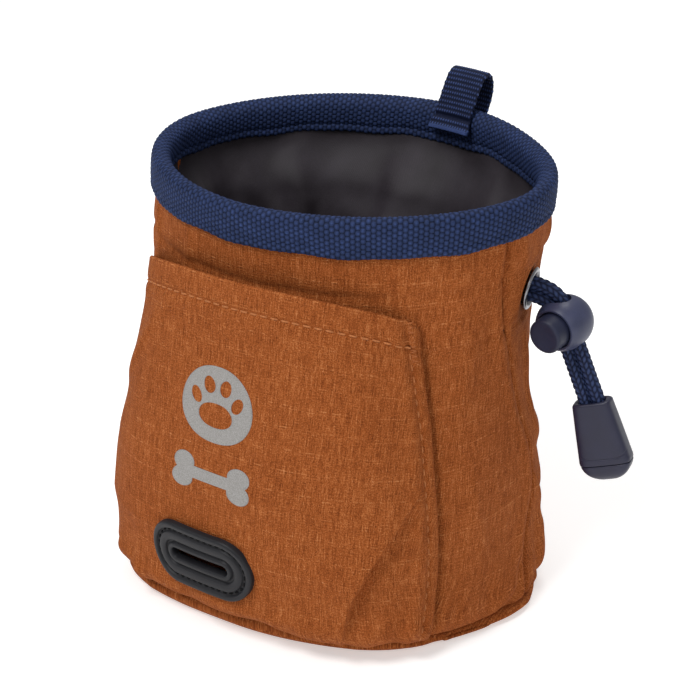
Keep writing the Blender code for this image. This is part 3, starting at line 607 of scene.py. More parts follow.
# ---------------------------------------------------------------- materials
class Look:
    """A material with one Principled shader, and short calls for its other nodes."""

    def __init__(self, name, colour, roughness, **sockets):
        self.material = bpy.data.materials.new(name)
        self.material.use_nodes = True
        self.tree = self.material.node_tree
        self.shader = self.tree.nodes["Principled BSDF"]
        self.set("Base Color", (*colour, 1))
        self.set("Roughness", roughness)
        for socket, value in sockets.items():
            self.set(socket.replace("_", " "), value)

    def set(self, socket, value):
        self.shader.inputs[socket].default_value = value

    def link(self, value, socket):
        if isinstance(value, bpy.types.NodeSocket):
            self.tree.links.new(value, socket)
        elif value is not None:
            socket.default_value = value

    def node(self, kind, settings=(), **inputs):
        made = self.tree.nodes.new(kind)
        for key, value in dict(settings).items():
            setattr(made, key, value)
        for key, value in inputs.items():
            self.link(value, made.inputs[key.replace("_", " ")])
        return made

    def math(self, operation, *values, clamp=False):
        made = self.node("ShaderNodeMath", {"operation": operation, "use_clamp": clamp})
        for value, socket in zip(values, made.inputs):
            self.link(value, socket)
        return made.outputs[0]

    def total(self, *values):
        found = values[0]
        for value in values[1:]:
            found = self.math("ADD", found, value)
        return found

    def times(self, value, amount):
        return self.math("MULTIPLY", value, amount)

    def place(self, uv=None):
        """The two coordinates of the cloth in millimetres, as sockets."""
        if uv:
            found = self.node("ShaderNodeUVMap", {"uv_map": uv}).outputs[0]
        else:
            found = self.node("ShaderNodeTexCoord").outputs["Object"]
            found = self.node("ShaderNodeVectorMath", {"operation": "SCALE"}, Vector=found, Scale=1 / MM).outputs[0]
        split = self.node("ShaderNodeSeparateXYZ", Vector=found)
        return split.outputs[0], split.outputs[1], split.outputs[2]

    def noise(self, x, y, z=0.0, detail=2.0, rough=0.5):
        where = self.node("ShaderNodeCombineXYZ", X=x, Y=y, Z=z).outputs[0]
        return self.node("ShaderNodeTexNoise", Vector=where, Scale=1.0, Detail=detail, Roughness=rough).outputs["Fac"]

    def band(self, value, pitch, width):
        """1 on thin lines a pitch apart, and 0 between them."""
        away = self.math("PINGPONG", value, pitch / 2)
        return self.node(
            "ShaderNodeMapRange", {"interpolation_type": "SMOOTHSTEP"},
            Value=away, From_Min=width, From_Max=width * 0.25, To_Min=0.0, To_Max=1.0,
        ).outputs[0]

    def ramp(self, value, *stops):
        made = self.node("ShaderNodeValToRGB", Fac=value)
        elements = made.color_ramp.elements
        while len(elements) < len(stops):
            elements.new(0.5)
        for element, (place, colour) in zip(elements, stops):
            element.position = place
            element.color = (*colour, 1)
        return made.outputs[0]

    def colour(self, value):
        self.link(value, self.shader.inputs["Base Color"])

    def rough(self, value, low, high):
        found = self.node("ShaderNodeMapRange", Value=value, To_Min=low, To_Max=high).outputs[0]
        self.link(found, self.shader.inputs["Roughness"])

    def bump(self, height, distance, strength=1.0):
        made = self.node("ShaderNodeBump", Height=height, Distance=distance, Strength=strength)
        self.link(made.outputs[0], self.shader.inputs["Normal"])


def rust_cloth():
    """Heathered ripstop: a fine plain weave, upright slubs and a square grid of thicker threads."""
    look = Look("rust_ripstop", (0.3, 0.09, 0.03), 0.85)
    look.set("Specular IOR Level", 0.06)
    u, v, _ = look.place("cloth")
    slub = look.noise(look.times(u, 3.0), look.times(v, 0.22), detail=2.0, rough=0.6)
    band = look.noise(look.times(u, 0.7), look.times(v, 0.05), 7.0, detail=3.0, rough=0.6)
    weft = look.noise(look.times(u, 0.28), look.times(v, 2.8), 3.0, detail=2.0, rough=0.6)
    grain = look.noise(look.times(u, 2.7), look.times(v, 2.3), 11.0, detail=1.0, rough=0.7)
    cloud = look.noise(look.times(u, 0.06), look.times(v, 0.05), 31.0, detail=2.0)
    broken = look.noise(look.times(u, 0.5), look.times(v, 0.5), 21.0, detail=2.0)
    level = look.math("MAXIMUM", look.band(v, 6.3, 0.3), look.times(look.band(look.math("ADD", v, 0.9), 6.3, 0.26), 0.7))
    upright = look.math("MAXIMUM", look.band(u, 6.3, 0.26), look.times(look.band(look.math("ADD", u, 0.9), 6.3, 0.24), 0.7))
    lines = look.math("MAXIMUM", level, look.times(upright, 0.65))
    lines = look.math("MULTIPLY", lines, look.math("MULTIPLY_ADD", broken, 4.5, -1.95, clamp=True))
    shade = look.total(
        look.times(slub, 0.95), look.times(band, 0.34), look.times(weft, 0.40), look.times(grain, 1.05),
        look.times(cloud, 0.12), look.times(lines, 0.25), -0.975,
    )
    look.colour(
        look.ramp(
            shade, (0.08, (0.120, 0.026, 0.0058)), (0.36, (0.235, 0.058, 0.0130)), (0.52, (0.322, 0.088, 0.0215)),
            (0.70, (0.420, 0.136, 0.041)), (0.98, (0.60, 0.245, 0.095)),
        )
    )
    look.rough(grain, 0.78, 0.94)
    relief = look.total(look.times(slub, 0.7), look.times(weft, 0.5), look.times(lines, 0.5), look.times(grain, 1.1))
    look.bump(relief, 0.3 * MM, 0.9)
    return look.material


def navy_webbing(name="navy_webbing", light=(0.0185, 0.0325, 0.094), painted_gap_shade=(0.0010, 0.0018, 0.0062)):
    """Woven tape: its beads are real relief, and each is made of fine thread. Its colour is also darker between the
    beads and lighter on their tops, which is painted shade and painted highlight.
    """
    look = Look(name, light, 0.7)
    look.set("Specular IOR Level", 0.14)
    u, v, _ = look.place("cloth")
    relief = look.node("ShaderNodeAttribute", {"attribute_name": "relief"}).outputs["Fac"]
    thread = look.noise(look.times(u, 1.8), look.times(v, 5.0), 2.0, detail=2.0, rough=0.6)
    worn = look.noise(look.times(u, 0.16), look.times(v, 0.25), 5.0, detail=3.0)
    # The relief darkens the colour in the gaps between beads and lightens it on their tops: painted shade and painted
    # highlight over the tape's navy.
    shade = look.total(look.times(look.math("POWER", relief, 1.9), 0.85), look.times(thread, 0.42), look.times(worn, 0.35), -0.42)
    middle = tuple((a * 0.5 + b * 0.5) for a, b in zip(light, painted_gap_shade))
    painted_bead_highlight = tuple(min(a * 2.3, 1) for a in light)
    look.colour(look.ramp(shade, (0.05, painted_gap_shade), (0.40, middle), (0.72, light), (1.0, painted_bead_highlight)))
    look.rough(thread, 0.58, 0.8)
    look.bump(thread, 0.12 * MM, 0.8)
    return look.material


def braided_cord():
    look = Look("navy_cord", (0.012, 0.018, 0.05), 0.6)
    look.set("Specular IOR Level", 0.2)
    u, v, _ = look.place("cloth")
    relief = look.node("ShaderNodeAttribute", {"attribute_name": "relief"}).outputs["Fac"]
    one = look.noise(look.times(look.total(u, v), 3.6), 0.0, detail=1.0)
    other = look.noise(look.times(look.total(u, look.times(v, -1)), 3.6), 9.0, detail=1.0)
    # The braid's relief darkens the colour between the beads and lightens it on their tops: painted shade and painted
    # highlight over the cord's navy.
    shade = look.total(look.times(relief, 0.8), look.times(one, 0.25), look.times(other, 0.25), -0.25)
    look.colour(
        look.ramp(shade, (0.08, (0.0012, 0.0020, 0.007)), (0.5, (0.0085, 0.0150, 0.050)), (1.0, (0.050, 0.078, 0.190)))
    )
    look.bump(look.total(one, other), 0.14 * MM, 0.8)
    return look.material


def coated_lining():
    """A dark coated cloth: its weave shows faintly through the coating."""
    look = Look("coated_lining", (0.03, 0.026, 0.031), 0.5)
    look.set("Specular IOR Level", 0.24)
    u, v, _ = look.place("cloth")
    weave = look.math(
        "MULTIPLY",
        look.math("SINE", look.times(u, 2 * math.pi / 0.7)),
        look.math("SINE", look.times(v, 2 * math.pi / 0.7)),
    )
    cloud = look.noise(look.times(u, 0.09), look.times(v, 0.09), detail=3.0)
    grain = look.noise(look.times(u, 2.2), look.times(v, 2.2), 4.0, detail=2.0)
    shade = look.total(look.times(cloud, 0.7), look.times(grain, 0.3))
    look.colour(look.ramp(shade, (0.32, (0.016, 0.0120, 0.0155)), (0.68, (0.036, 0.030, 0.037))))
    look.rough(look.total(look.times(cloud, 0.6), look.times(grain, 0.4)), 0.50, 0.68)
    look.bump(look.total(look.times(weave, 0.25), look.times(grain, 0.6)), 0.06 * MM, 0.6)
    return look.material


def moulded(name, colour, low, high, fleck=0.12, size=0.35, shine=0.4):
    """Satin moulded plastic or rubber, with a fine spark-eroded grain and faint scuffs."""
    look = Look(name, colour, (low + high) / 2)
    look.set("Specular IOR Level", shine)
    x, y, z = look.place()
    grain = look.noise(look.times(x, 1 / size), look.times(y, 1 / size), look.times(z, 1 / size), detail=2.0)
    cloud = look.noise(look.times(x, 0.2), look.times(y, 0.2), look.times(z, 0.2), detail=3.0)
    shade = look.total(look.times(cloud, 0.7), look.times(grain, 0.3))
    darker, lighter = (tuple(c * (1 + side * fleck) for c in colour) for side in (-1, 1))
    look.colour(look.ramp(shade, (0.35, darker), (0.65, lighter)))
    look.rough(shade, low, high)
    look.bump(grain, 0.03 * MM, 0.5)
    return look.material


def metal(name, colour, low, high):
    look = Look(name, colour, (low + high) / 2, Metallic=1.0)
    x, y, z = look.place()
    marks = look.noise(look.times(x, 0.9), look.times(y, 0.9), look.times(z, 0.9), detail=4.0, rough=0.65)
    look.colour(look.ramp(marks, (0.3, tuple(c * 0.86 for c in colour)), (0.7, colour)))
    look.rough(marks, low, high)
    look.bump(marks, 0.012 * MM, 0.4)
    return look.material


def sewing_thread(name, colour):
    look = Look(name, colour, 0.7)
    look.set("Specular IOR Level", 0.2)
    x, y, z = look.place()
    twist = look.noise(look.times(x, 2.5), look.times(y, 2.5), look.times(z, 2.5), detail=2.0)
    look.colour(look.ramp(twist, (0.3, tuple(c * 0.72 for c in colour)), (0.7, tuple(min(c * 1.2, 1) for c in colour))))
    look.bump(twist, 0.05 * MM, 0.6)
    return look.material


def print_ink():
    """Reflective ink: pale grey, with the cloth's weave just showing through."""
    look = Look("print_ink", (0.29, 0.28, 0.27), 0.5)
    look.set("Specular IOR Level", 0.25)
    x, y, z = look.place()
    bead = look.noise(look.times(x, 3.2), look.times(y, 3.2), look.times(z, 3.2), detail=2.0, rough=0.7)
    look.colour(look.ramp(bead, (0.3, (0.205, 0.192, 0.180)), (0.7, (0.345, 0.335, 0.325))))
    look.rough(bead, 0.4, 0.6)
    look.bump(bead, 0.08 * MM, 0.6)
    return look.material


RUST = rust_cloth()
WEBBING = navy_webbing()
# The loop's third colour is its painted gap shade, between the ribs.
LOOP_WEBBING = navy_webbing("navy_loop_webbing", (0.040, 0.068, 0.195), (0.0040, 0.0068, 0.0235))
CORD = braided_cord()
LINING = coated_lining()
PLASTIC = moulded("navy_plastic", (0.0160, 0.0165, 0.0390), 0.36, 0.48)
# The lock body's navy is lighter than the button's and the end piece's: the plastic's own navy with a painted
# reflection of the overhead light.
LOCK_PLASTIC_PAINTED_REFLECTION = moulded("navy_plastic_lock_painted_reflection", (0.0370, 0.0420, 0.0860), 0.36, 0.48)
BUTTON_PLASTIC = moulded("navy_plastic_button", (0.0150, 0.0175, 0.0400), 0.40, 0.52, shine=0.3)
RUBBER = moulded("black_rubber", (0.0084, 0.0084, 0.0112), 0.46, 0.6, size=0.5, shine=0.3)
STEEL = metal("spring_steel", (0.52, 0.52, 0.54), 0.22, 0.36)
NICKEL = metal("eyelet_metal", (0.27, 0.27, 0.29), 0.20, 0.36)
RUST_THREAD = sewing_thread("rust_thread", (0.44, 0.155, 0.050))
TACK_THREAD = sewing_thread("rust_tack_thread", (0.36, 0.112, 0.033))
NAVY_THREAD = sewing_thread("navy_thread", (0.012, 0.021, 0.062))
BLACK_THREAD = sewing_thread("black_thread", (0.0035, 0.0035, 0.004))
INK = print_ink()


def dress(made, material, body, nodes=()):
    """Gives a piece its material and its CAD body, and hides the CAD nodes that it stands for."""
    made.data.materials.clear()
    made.data.materials.append(material)
    if body:
        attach(made, body)
    if nodes:
        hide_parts(*nodes)
    return made


# ---------------------------------------------------------------- the drawcord
def eyelet_frame():
    """Z points out of the bag through the eyelet, and X runs along the wall."""
    middle = wall(EYELET_HEIGHT, EYELET_ANGLE)
    along = wall(EYELET_HEIGHT, EYELET_ANGLE + 1) - wall(EYELET_HEIGHT, EYELET_ANGLE - 1)
    up = wall(EYELET_HEIGHT + MM, EYELET_ANGLE) - wall(EYELET_HEIGHT - MM, EYELET_ANGLE)
    return frame_of(middle, along, np.cross(along, up))


EYELET = eyelet_frame()
EYELET_POINT = EYELET.translation
EYELET_OUT = EYELET.to_3x3() @ Vector((0, 0, 1))
LEVEL_OUT = Vector((EYELET_OUT.x, EYELET_OUT.y, 0)).normalized()
UP = Vector((0, 0, 1))
CORD_ROUTE = [EYELET_POINT + LEVEL_OUT * out * MM + UP * up * MM for out, up in CORD_ROUTE_MM]
LOCK_POINT, END_POINT = CORD_ROUTE[LOCK_STOP], CORD_ROUTE[CORD_END_STOP]
CORD_DOWN = (END_POINT - LOCK_POINT).normalized()
PAIR_AXIS = LEVEL_OUT.cross(UP).normalized()  # square to the plane in which the two strands lie
END_DOWN = (Matrix.Rotation(END_TILT, 3, -PAIR_AXIS) @ CORD_DOWN).normalized()
END_ACROSS = PAIR_AXIS.cross(END_DOWN).normalized()
LOCK_AXIS = Matrix.Rotation(LOCK_TURN, 3, CORD_DOWN) @ PAIR_AXIS  # the way the button points
LOCK_FRAME = frame_of(LOCK_POINT, LOCK_AXIS.cross(CORD_DOWN), LOCK_AXIS)

BRAID_COLUMNS, BRAID_PITCH, BRAID_RELIEF = 8, 1.9 * MM, 0.42 * MM
BRAID_SIDES, BRAID_STEP = 7, 0.2 * MM  # points across each column, and between rings


def braid(name, line, side_axis):
    """A braided cord along a line: staggered, slanting beads in columns round it."""
    total = length_of(line)
    count = int(total / BRAID_STEP)
    places = np.linspace(0, total, count + 1)
    middle = resample(line, places)
    along = np.gradient(middle, axis=0)
    along /= np.linalg.norm(along, axis=1, keepdims=True)
    first = side_axis - (along @ side_axis)[:, None] * along
    first /= np.linalg.norm(first, axis=1, keepdims=True)
    second = np.cross(along, first)
    sides = BRAID_COLUMNS * BRAID_SIDES
    angle = 2 * math.pi * np.arange(sides) / sides
    column = angle / (2 * math.pi) * BRAID_COLUMNS
    number = np.floor(column)
    across = column - number - 0.5
    slant = np.where(number % 2 == 0, 1, -1)
    phase = places[:, None] / BRAID_PITCH + 0.55 * (across * slant)[None, :] + 0.5 * ((number // 1) % 2)[None, :]
    phase = phase - np.round(phase)
    bead = np.sqrt(np.clip(1 - (2 * phase) ** 2 * 0.92, 0, 1)) * np.sqrt(np.clip(1 - (2 * across[None, :]) ** 2 * 0.9, 0, 1))
    radius = CORD_RADIUS - BRAID_RELIEF + BRAID_RELIEF * 1.25 * bead
    ring = np.cos(angle)[None, :, None] * first[:, None] + np.sin(angle)[None, :, None] * second[:, None]
    points = middle[:, None] + ring * radius[..., None]
    u = np.concatenate([angle, [2 * math.pi]]) * CORD_RADIUS / MM
    uv = np.stack(np.broadcast_arrays(u[None, :], places[:, None] / MM), -1)
    made = sheet(name, points, uv, wrap=True, values=bead)
    close_ends(made)
    return made


def close_ends(made):
    """Caps every open ring."""
    shape = bmesh.new()
    shape.from_mesh(made.data)
    open_edges = [edge for edge in shape.edges if edge.is_boundary]
    bmesh.ops.holes_fill(shape, edges=open_edges, sides=0)
    bmesh.ops.recalc_face_normals(shape, faces=shape.faces)
    shape.to_mesh(made.data)
    shape.free()


def make_strands():
    middle = smooth_profile([tuple(point) for point in CORD_ROUTE], 0.5 * MM)
    along = np.gradient(middle, axis=0)
    along /= np.linalg.norm(along, axis=1, keepdims=True)
    axis = np.array(PAIR_AXIS)
    beside = np.cross(axis, along)
    beside /= np.linalg.norm(beside, axis=1, keepdims=True)
    found = []
    for name, side in (("drawcord_strand_upper", 1), ("drawcord_strand_lower", -1)):
        line = middle + beside * STRAND_OFFSET * side
        strand = braid(name + "_braid", line, axis)
        dress(strand, CORD, None, [name])
        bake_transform(strand)
        found.append((strand, line))
    return found


def make_hidden_run():
    """The cord's run inside the wall, level with the eyelet."""
    clear = HIDDEN_RUN_CLEAR
    angles = EYELET_ANGLE + np.linspace(clear, 360 - clear, 240)
    line = wall(EYELET_HEIGHT, angles, -(0.8 + 0.6) * MM - CORD_RADIUS)
    made = braid("drawcord_hidden_run_braid", line, np.array((0.0, 0.0, 1.0)))
    return dress(made, CORD, "pouch", ["drawcord_hidden_run"])


# ---------------------------------------------------------------- the cord lock
LOCK_STEPS = 128


def boolean(made, *cutters):
    """Takes the cutters away from a piece and removes them."""
    for cutter in cutters:
        modifier = made.modifiers.new("cut", "BOOLEAN")
        modifier.operation, modifier.solver, modifier.object = "DIFFERENCE", "EXACT", cutter
    bpy.context.view_layer.update()
    graph = bpy.context.evaluated_depsgraph_get()
    mesh = bpy.data.meshes.new_from_object(made.evaluated_get(graph))
    made.modifiers.clear()
    made.data = mesh
    for cutter in cutters:
        bpy.data.objects.remove(cutter)


def box_cutter(matrix, low, high):
    shape = bmesh.new()
    bmesh.ops.create_cube(shape, size=1)
    low, high = Vector(low), Vector(high)
    for vert in shape.verts:
        vert.co = matrix @ Vector([a + (b - a) * (c + 0.5) for a, b, c in zip(low, high, vert.co)])
    bmesh.ops.recalc_face_normals(shape, faces=shape.faces)
    mesh = bpy.data.meshes.new("cutter")
    shape.to_mesh(mesh)
    shape.free()
    return add("cutter", mesh)


def stadium_cutter(matrix, low, high, deep):
    """A slot with round ends: low and high are its ends across, and deep half its width."""
    outline = []
    for centre, start in ((high - deep, -90), (low + deep, 90)):
        for step in range(13):
            angle = math.radians(start + 180 * step / 12)
            outline.append((centre + deep * math.cos(angle), deep * math.sin(angle)))
    reach = 12 * MM
    shape = bmesh.new()
    rings = [[shape.verts.new(matrix @ Vector((x, y, z))) for x, z in outline] for y in (-reach, reach)]
    for j in range(len(outline)):
        k = (j + 1) % len(outline)
        shape.faces.new((rings[0][j], rings[0][k], rings[1][k], rings[1][j]))
    shape.faces.new(rings[0])
    shape.faces.new(reversed(rings[1]))
    bmesh.ops.recalc_face_normals(shape, faces=shape.faces)
    mesh = bpy.data.meshes.new("cutter")
    shape.to_mesh(mesh)
    shape.free()
    return add("cutter", mesh)


def soft_edges(made, width, angle=35, segments=3):
    modifier = made.modifiers.new("edges", "BEVEL")
    modifier.width, modifier.segments = width, segments
    modifier.limit_method, modifier.angle_limit = "ANGLE", math.radians(angle)
    modifier.harden_normals = True
    return made


def make_cord_lock():
    power = 2 / LOCK_ROUNDNESS
    start = math.asin((LOCK_FACE / -LOCK_BACK) ** (1 / power))
    angles = np.linspace(start, -math.pi / 2, 40)[:-1]
    height = -LOCK_BACK * np.sign(np.sin(angles)) * abs(np.sin(angles)) ** power
    radius = LOCK_RADIUS * np.cos(angles) ** power
    lip = 0.45 * MM  # the bore's rim is rounded over
    mouth = [
        (LOCK_BORE, LOCK_BORE_FLOOR), (LOCK_BORE, LOCK_FACE - 2 * MM), (LOCK_BORE, LOCK_FACE - lip),
        (LOCK_BORE + 0.15 * lip, LOCK_FACE - 0.4 * lip), (LOCK_BORE + 0.5 * lip, LOCK_FACE - 0.05 * lip),
        (LOCK_BORE + lip, LOCK_FACE),
    ]
    profile = [(0, LOCK_BORE_FLOOR), *mouth, *zip(radius, height), (0, LOCK_BACK)]
    body = turned("cord_lock_barrel", profile, LOCK_FRAME, LOCK_STEPS, closed=False)
    boolean(body, stadium_cutter(LOCK_FRAME, *LOCK_SLOT_ACROSS, LOCK_SLOT_DEEP))
    shade_smooth(body.data, 32)
    soft_edges(body, 0.25 * MM)
    dress(body, LOCK_PLASTIC_PAINTED_REFLECTION, "cord_lock", ["cord_lock_body"])

    edge, bottom = 0.9 * MM, 0.3 * MM
    rounding = [(BUTTON_RADIUS - edge + edge * math.sin(a), BUTTON_TOP - edge + edge * math.cos(a))
                for a in np.linspace(0, math.pi / 2, 9)]
    dish = [(0, BUTTON_TOP - 0.25 * MM), (2.2 * MM, BUTTON_TOP - 0.2 * MM), (3.6 * MM, BUTTON_TOP - 0.04 * MM)]
    profile = [
        *dish, *rounding, (BUTTON_RADIUS, LOCK_FACE + 0.8 * MM), (BUTTON_RADIUS, BUTTON_BOTTOM + bottom),
        (BUTTON_RADIUS - bottom, BUTTON_BOTTOM), (0, BUTTON_BOTTOM),
    ]
    button = turned("cord_lock_button_cap", profile, LOCK_FRAME, LOCK_STEPS, closed=False)
    reach = 12 * MM
    low, high = (-BUTTON_SLOT_HALF, -reach, BUTTON_SLOT[0]), (BUTTON_SLOT_HALF, reach, BUTTON_SLOT[1])
    boolean(button, box_cutter(LOCK_FRAME, low, high))
    shade_smooth(button.data, 32)
    dress(button, BUTTON_PLASTIC, "lock_button", ["cord_lock_button"])
    return body, button


def make_spring():
    """A coil between the bore's floor and the button."""
    low, high = LOCK_BORE_FLOOR + SPRING_WIRE + SPRING_GAP, BUTTON_BOTTOM - SPRING_WIRE - SPRING_GAP
    share = np.linspace(0, 1, 121)
    angle = 2 * math.pi * SPRING_TURNS * share
    radial = np.stack([np.cos(angle), np.sin(angle), 0 * angle], -1)
    line = SPRING_RADIUS * radial
    line[:, 2] = low + (high - low) * share
    round_it = np.linspace(0, 2 * math.pi, 11)[:-1]
    ring = np.cos(round_it)[None, :, None] * radial[:, None] + np.sin(round_it)[None, :, None] * np.array((0, 0, 1.0))
    points = placed((line[:, None] + SPRING_WIRE * ring).reshape(-1, 3), LOCK_FRAME).reshape(len(line), -1, 3)
    made = sheet("cord_lock_coil", points, wrap=True)
    close_ends(made)
    dress(made, STEEL, None, ["cord_lock_spring"])
    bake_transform(made)


# ---------------------------------------------------------------- the cord's end piece
END_SIDES = 96


def end_half_width(down):
    shoulder = END_LENGTH - END_LOW_WIDTH * 0.42
    half = END_TOP_WIDTH / 2 + (END_LOW_WIDTH - END_TOP_WIDTH) / 2 * np.minimum(down / shoulder, 1)
    past = np.clip((down - shoulder) / (END_LENGTH - shoulder), 0, 1)
    return half * np.sqrt(np.clip(1 - past**2, 0.0, 1))


def end_ring(down, inset=0.0, thin_scale=1.0):
    """One ring of the end piece, drawn in by inset all round."""
    angle = 2 * math.pi * np.arange(END_SIDES) / END_SIDES
    c, s = np.cos(angle), np.sin(angle)
    half = max(float(end_half_width(np.asarray(down))) - inset, 0.05 * MM)
    arc_at = 15.6 * MM + 1.9 * MM * (1 - c**2)  # a shallow moulded line that bows towards the tip
    groove = 0.22 * MM * np.exp(-(((down - arc_at) / (0.2 * MM)) ** 2))
    thin = END_THICK / 2 * (0.9 + 0.1 * min(down / (8 * MM), 1)) * thin_scale
    tip = np.clip((END_LENGTH - down) / (4.2 * MM), 0, 1)
    thin = max(thin * math.sqrt(max(1 - (1 - tip) ** 2, 0.0)) - inset, 0.05 * MM) if tip < 1 else thin - inset
    out = half * np.sign(c) * abs(c) ** END_SQUARENESS
    deep = (thin - groove) * np.sign(s) * abs(s) ** END_SQUARENESS
    base = np.array(END_POINT + END_DOWN * down)
    return base + np.outer(out, np.array(END_ACROSS)) + np.outer(deep, np.array(PAIR_AXIS))


def pocket_ring(down):
    """The slot in the end piece's top that takes the two strands."""
    angle = 2 * math.pi * np.arange(END_SIDES) / END_SIDES
    c, s = np.cos(angle), np.sin(angle)
    half, deep = STRAND_OFFSET + CORD_RADIUS + 0.35 * MM, CORD_RADIUS + 0.35 * MM
    out = half * np.sign(c) * abs(c) ** 0.6
    thick = deep * np.sign(s) * abs(s) ** 0.8
    base = np.array(END_POINT + END_DOWN * down)
    return base + np.outer(out, np.array(END_ACROSS)) + np.outer(thick, np.array(PAIR_AXIS))


def make_cord_end():
    edge, split, gap = 0.8 * MM, END_LENGTH - END_LID, 0.14 * MM
    rows = [pocket_ring(END_POCKET_DEPTH * t) for t in (0.9, 0.5, 0.15)]
    rows.append(pocket_ring(0.1 * MM))
    rows += [end_ring(edge * (1 - math.cos(a)), edge * (1 - math.sin(a))) for a in np.linspace(0.05, math.pi / 2, 8)]
    rows += [end_ring(down) for down in np.linspace(edge * 1.4, 14.8 * MM, 24)[:-1]]
    rows += [end_ring(down) for down in np.linspace(14.8 * MM, 18.4 * MM, 36)[:-1]]
    rows += [end_ring(down) for down in np.linspace(18.4 * MM, split - 0.35 * MM, 4)]
    rows += [end_ring(split - 0.12 * MM, 0.06 * MM), end_ring(split, 0.3 * MM)]
    body = sheet("cord_end_shell", np.array(rows), wrap=True)
    close_ends(body)
    dress(body, PLASTIC, "drawcord_tail", ["cord_end_body"])

    rows = [end_ring(split + gap, 0.3 * MM), end_ring(split + gap + 0.1 * MM, 0.06 * MM)]
    rows += [end_ring(down) for down in END_LENGTH - (END_LID - gap - 0.35 * MM) * np.cos(np.linspace(0, 1.555, 22)) ** 1.4]
    lid = sheet("cord_end_cap", np.array(rows), wrap=True)
    close_ends(lid)
    dress(lid, PLASTIC, "drawcord_tail", ["cord_end_lid"])
    return body, lid


# ---------------------------------------------------------------- the eyelet
def make_eyelet():
    hole, flange = EYELET_HOLE, EYELET_FLANGE - 0.3 * MM
    roll = [(flange - 0.75 * MM + 0.75 * MM * math.sin(a), 0.25 * MM + 0.75 * MM * math.cos(a))
            for a in np.linspace(-1.0, math.pi / 2, 14)]
    profile = [
        (hole, -2.9 * MM), (hole, -0.2 * MM), (hole + 0.1 * MM, 0.3 * MM), *roll, (flange - 0.2 * MM, 0.05 * MM),
        (hole + EYELET_WALL, 0.0), (hole + EYELET_WALL, -2.5 * MM), (hole + 0.95 * MM, -2.7 * MM),
        (hole + 0.9 * MM, -3.0 * MM), (hole + 0.4 * MM, -3.1 * MM),
    ]
    dress(turned("eyelet_rolled_barrel", profile, EYELET), NICKEL, "pouch", ["eyelet_barrel"])
    inner = hole + EYELET_WALL + 0.3 * MM
    profile = [
        (flange - 0.1 * MM, -1.8 * MM), (flange, -1.9 * MM), (flange, -2.1 * MM), (flange - 0.1 * MM, -2.2 * MM),
        (inner, -2.2 * MM), (inner, -1.8 * MM),
    ]
    dress(turned("eyelet_back_washer", profile, EYELET), NICKEL, "pouch", ["eyelet_washer"])


# ---------------------------------------------------------------- the bag's cloth
def make_shell():
    heights = np.concatenate([BASE_SEAM + np.linspace(-0.4, 3, 10)[:-1] * MM, np.linspace(8.7 * MM, SHELL_TOP, 190)])
    seam = seam_angle(heights)
    gap = 0.12
    for name, node, low, high, columns in (
        ("front_cloth", "shell_front_panel", -180 - seam + gap, seam - gap, 430),
        ("back_cloth", "shell_back_panel", seam + gap, 180 - seam - gap, 400),
    ):
        share = np.linspace(0, 1, columns + 1)[None, :]
        angles = low[:, None] * (1 - share) + high[:, None] * share
        z = heights[:, None] + 0 * angles
        points = bag(z, angles)
        made = sheet(name, points, arc_uv(points))
        if name == "back_cloth":
            made = cut_hole(made, EYELET, EYELET_HOLE + EYELET_WALL + 0.2 * MM)
        thicken(made, FABRIC)
        dress(made, RUST, "pouch", [node])
        width = float(np.ptp(arc_uv(points)[90, :, 0]) * MM)
        height = float(arc_uv(points)[-1, 0, 1] * MM)


def cut_hole(made, matrix, radius):
    """Opens a round hole in a sheet: points within the radius move to the rim and the faces inside go."""
    shape = bmesh.new()
    shape.from_mesh(made.data)
    inverse = matrix.inverted()
    near = {}
    for vert in shape.verts:
        local = inverse @ vert.co
        if abs(local.z) < 6 * MM:
            near[vert] = local
    doomed = [face for face in shape.faces if all(v in near and near[v].xy.length < radius for v in face.verts)]
    bmesh.ops.delete(shape, geom=doomed, context="FACES")
    for vert in shape.verts:
        local = near.get(vert)
        if local is not None and vert.is_boundary and local.xy.length < radius * 1.3:
            scale = radius / local.xy.length
            vert.co = matrix @ Vector((local.x * scale, local.y * scale, local.z))
    shape.to_mesh(made.data)
    shape.free()
    return made


def base_rows(profile, columns, shrink):
    """Rings of the oval base: profile is (height, offset), and shrink the shares for the flat floor."""
    angles = np.linspace(0, 360, columns + 1)[:-1]
    gather = ripple(angles, SEAM_PUCKER)
    edge = []
    for height, offset in profile:
        share = smooth(height, 0.8, 4.5)
        out = offset + 0.3 * gather * smooth(height, 0.5, 2.5) - 2.0 * bell(angles, 210, 15)
        edge.append(wall((height + base_seam(angles) * share) * MM, angles, out * MM))
    floor = edge[0]
    centre = floor.mean(0)
    inner = [centre + (floor - centre) * share for share in shrink]
    return np.array(inner + edge)


def make_base():
    profile = [
        (0, -3.6), (0.05, -2.2), (0.35, -1.2), (0.9, -0.4), (1.7, 0.15), (2.6, 0.4), (3.5, 0.35), (4.3, 0.0),
        (5.0, -0.6), (5.5, -1.3), (5.8, -2.1), (5.9, -3.0),
    ]
    shrink = [0.02, *np.linspace(0.1, 0.96, 16)]
    points = base_rows(profile, 360, shrink)
    flat_uv = np.concatenate([points, points[:, :1]], 1)[..., :2] / MM
    made = sheet("base_cloth", points, flat_uv, wrap=True)
    close_ends_at_centre(made)
    thicken(made, FABRIC)
    dress(made, RUST, "pouch", ["base_panel"])
    profile = [(1.4, -4.6), (1.5, -3.6), (2.0, -3.0), (2.8, -3.1), (3.8, -3.5)]
    points = base_rows(profile, 240, shrink)
    flat_uv = np.concatenate([points, points[:, :1]], 1)[..., :2] / MM
    inner = sheet("lining_floor", points, flat_uv, wrap=True)
    close_ends_at_centre(inner)
    thicken(inner, FABRIC)
    dress(inner, LINING, "pouch", ["lining_base"])


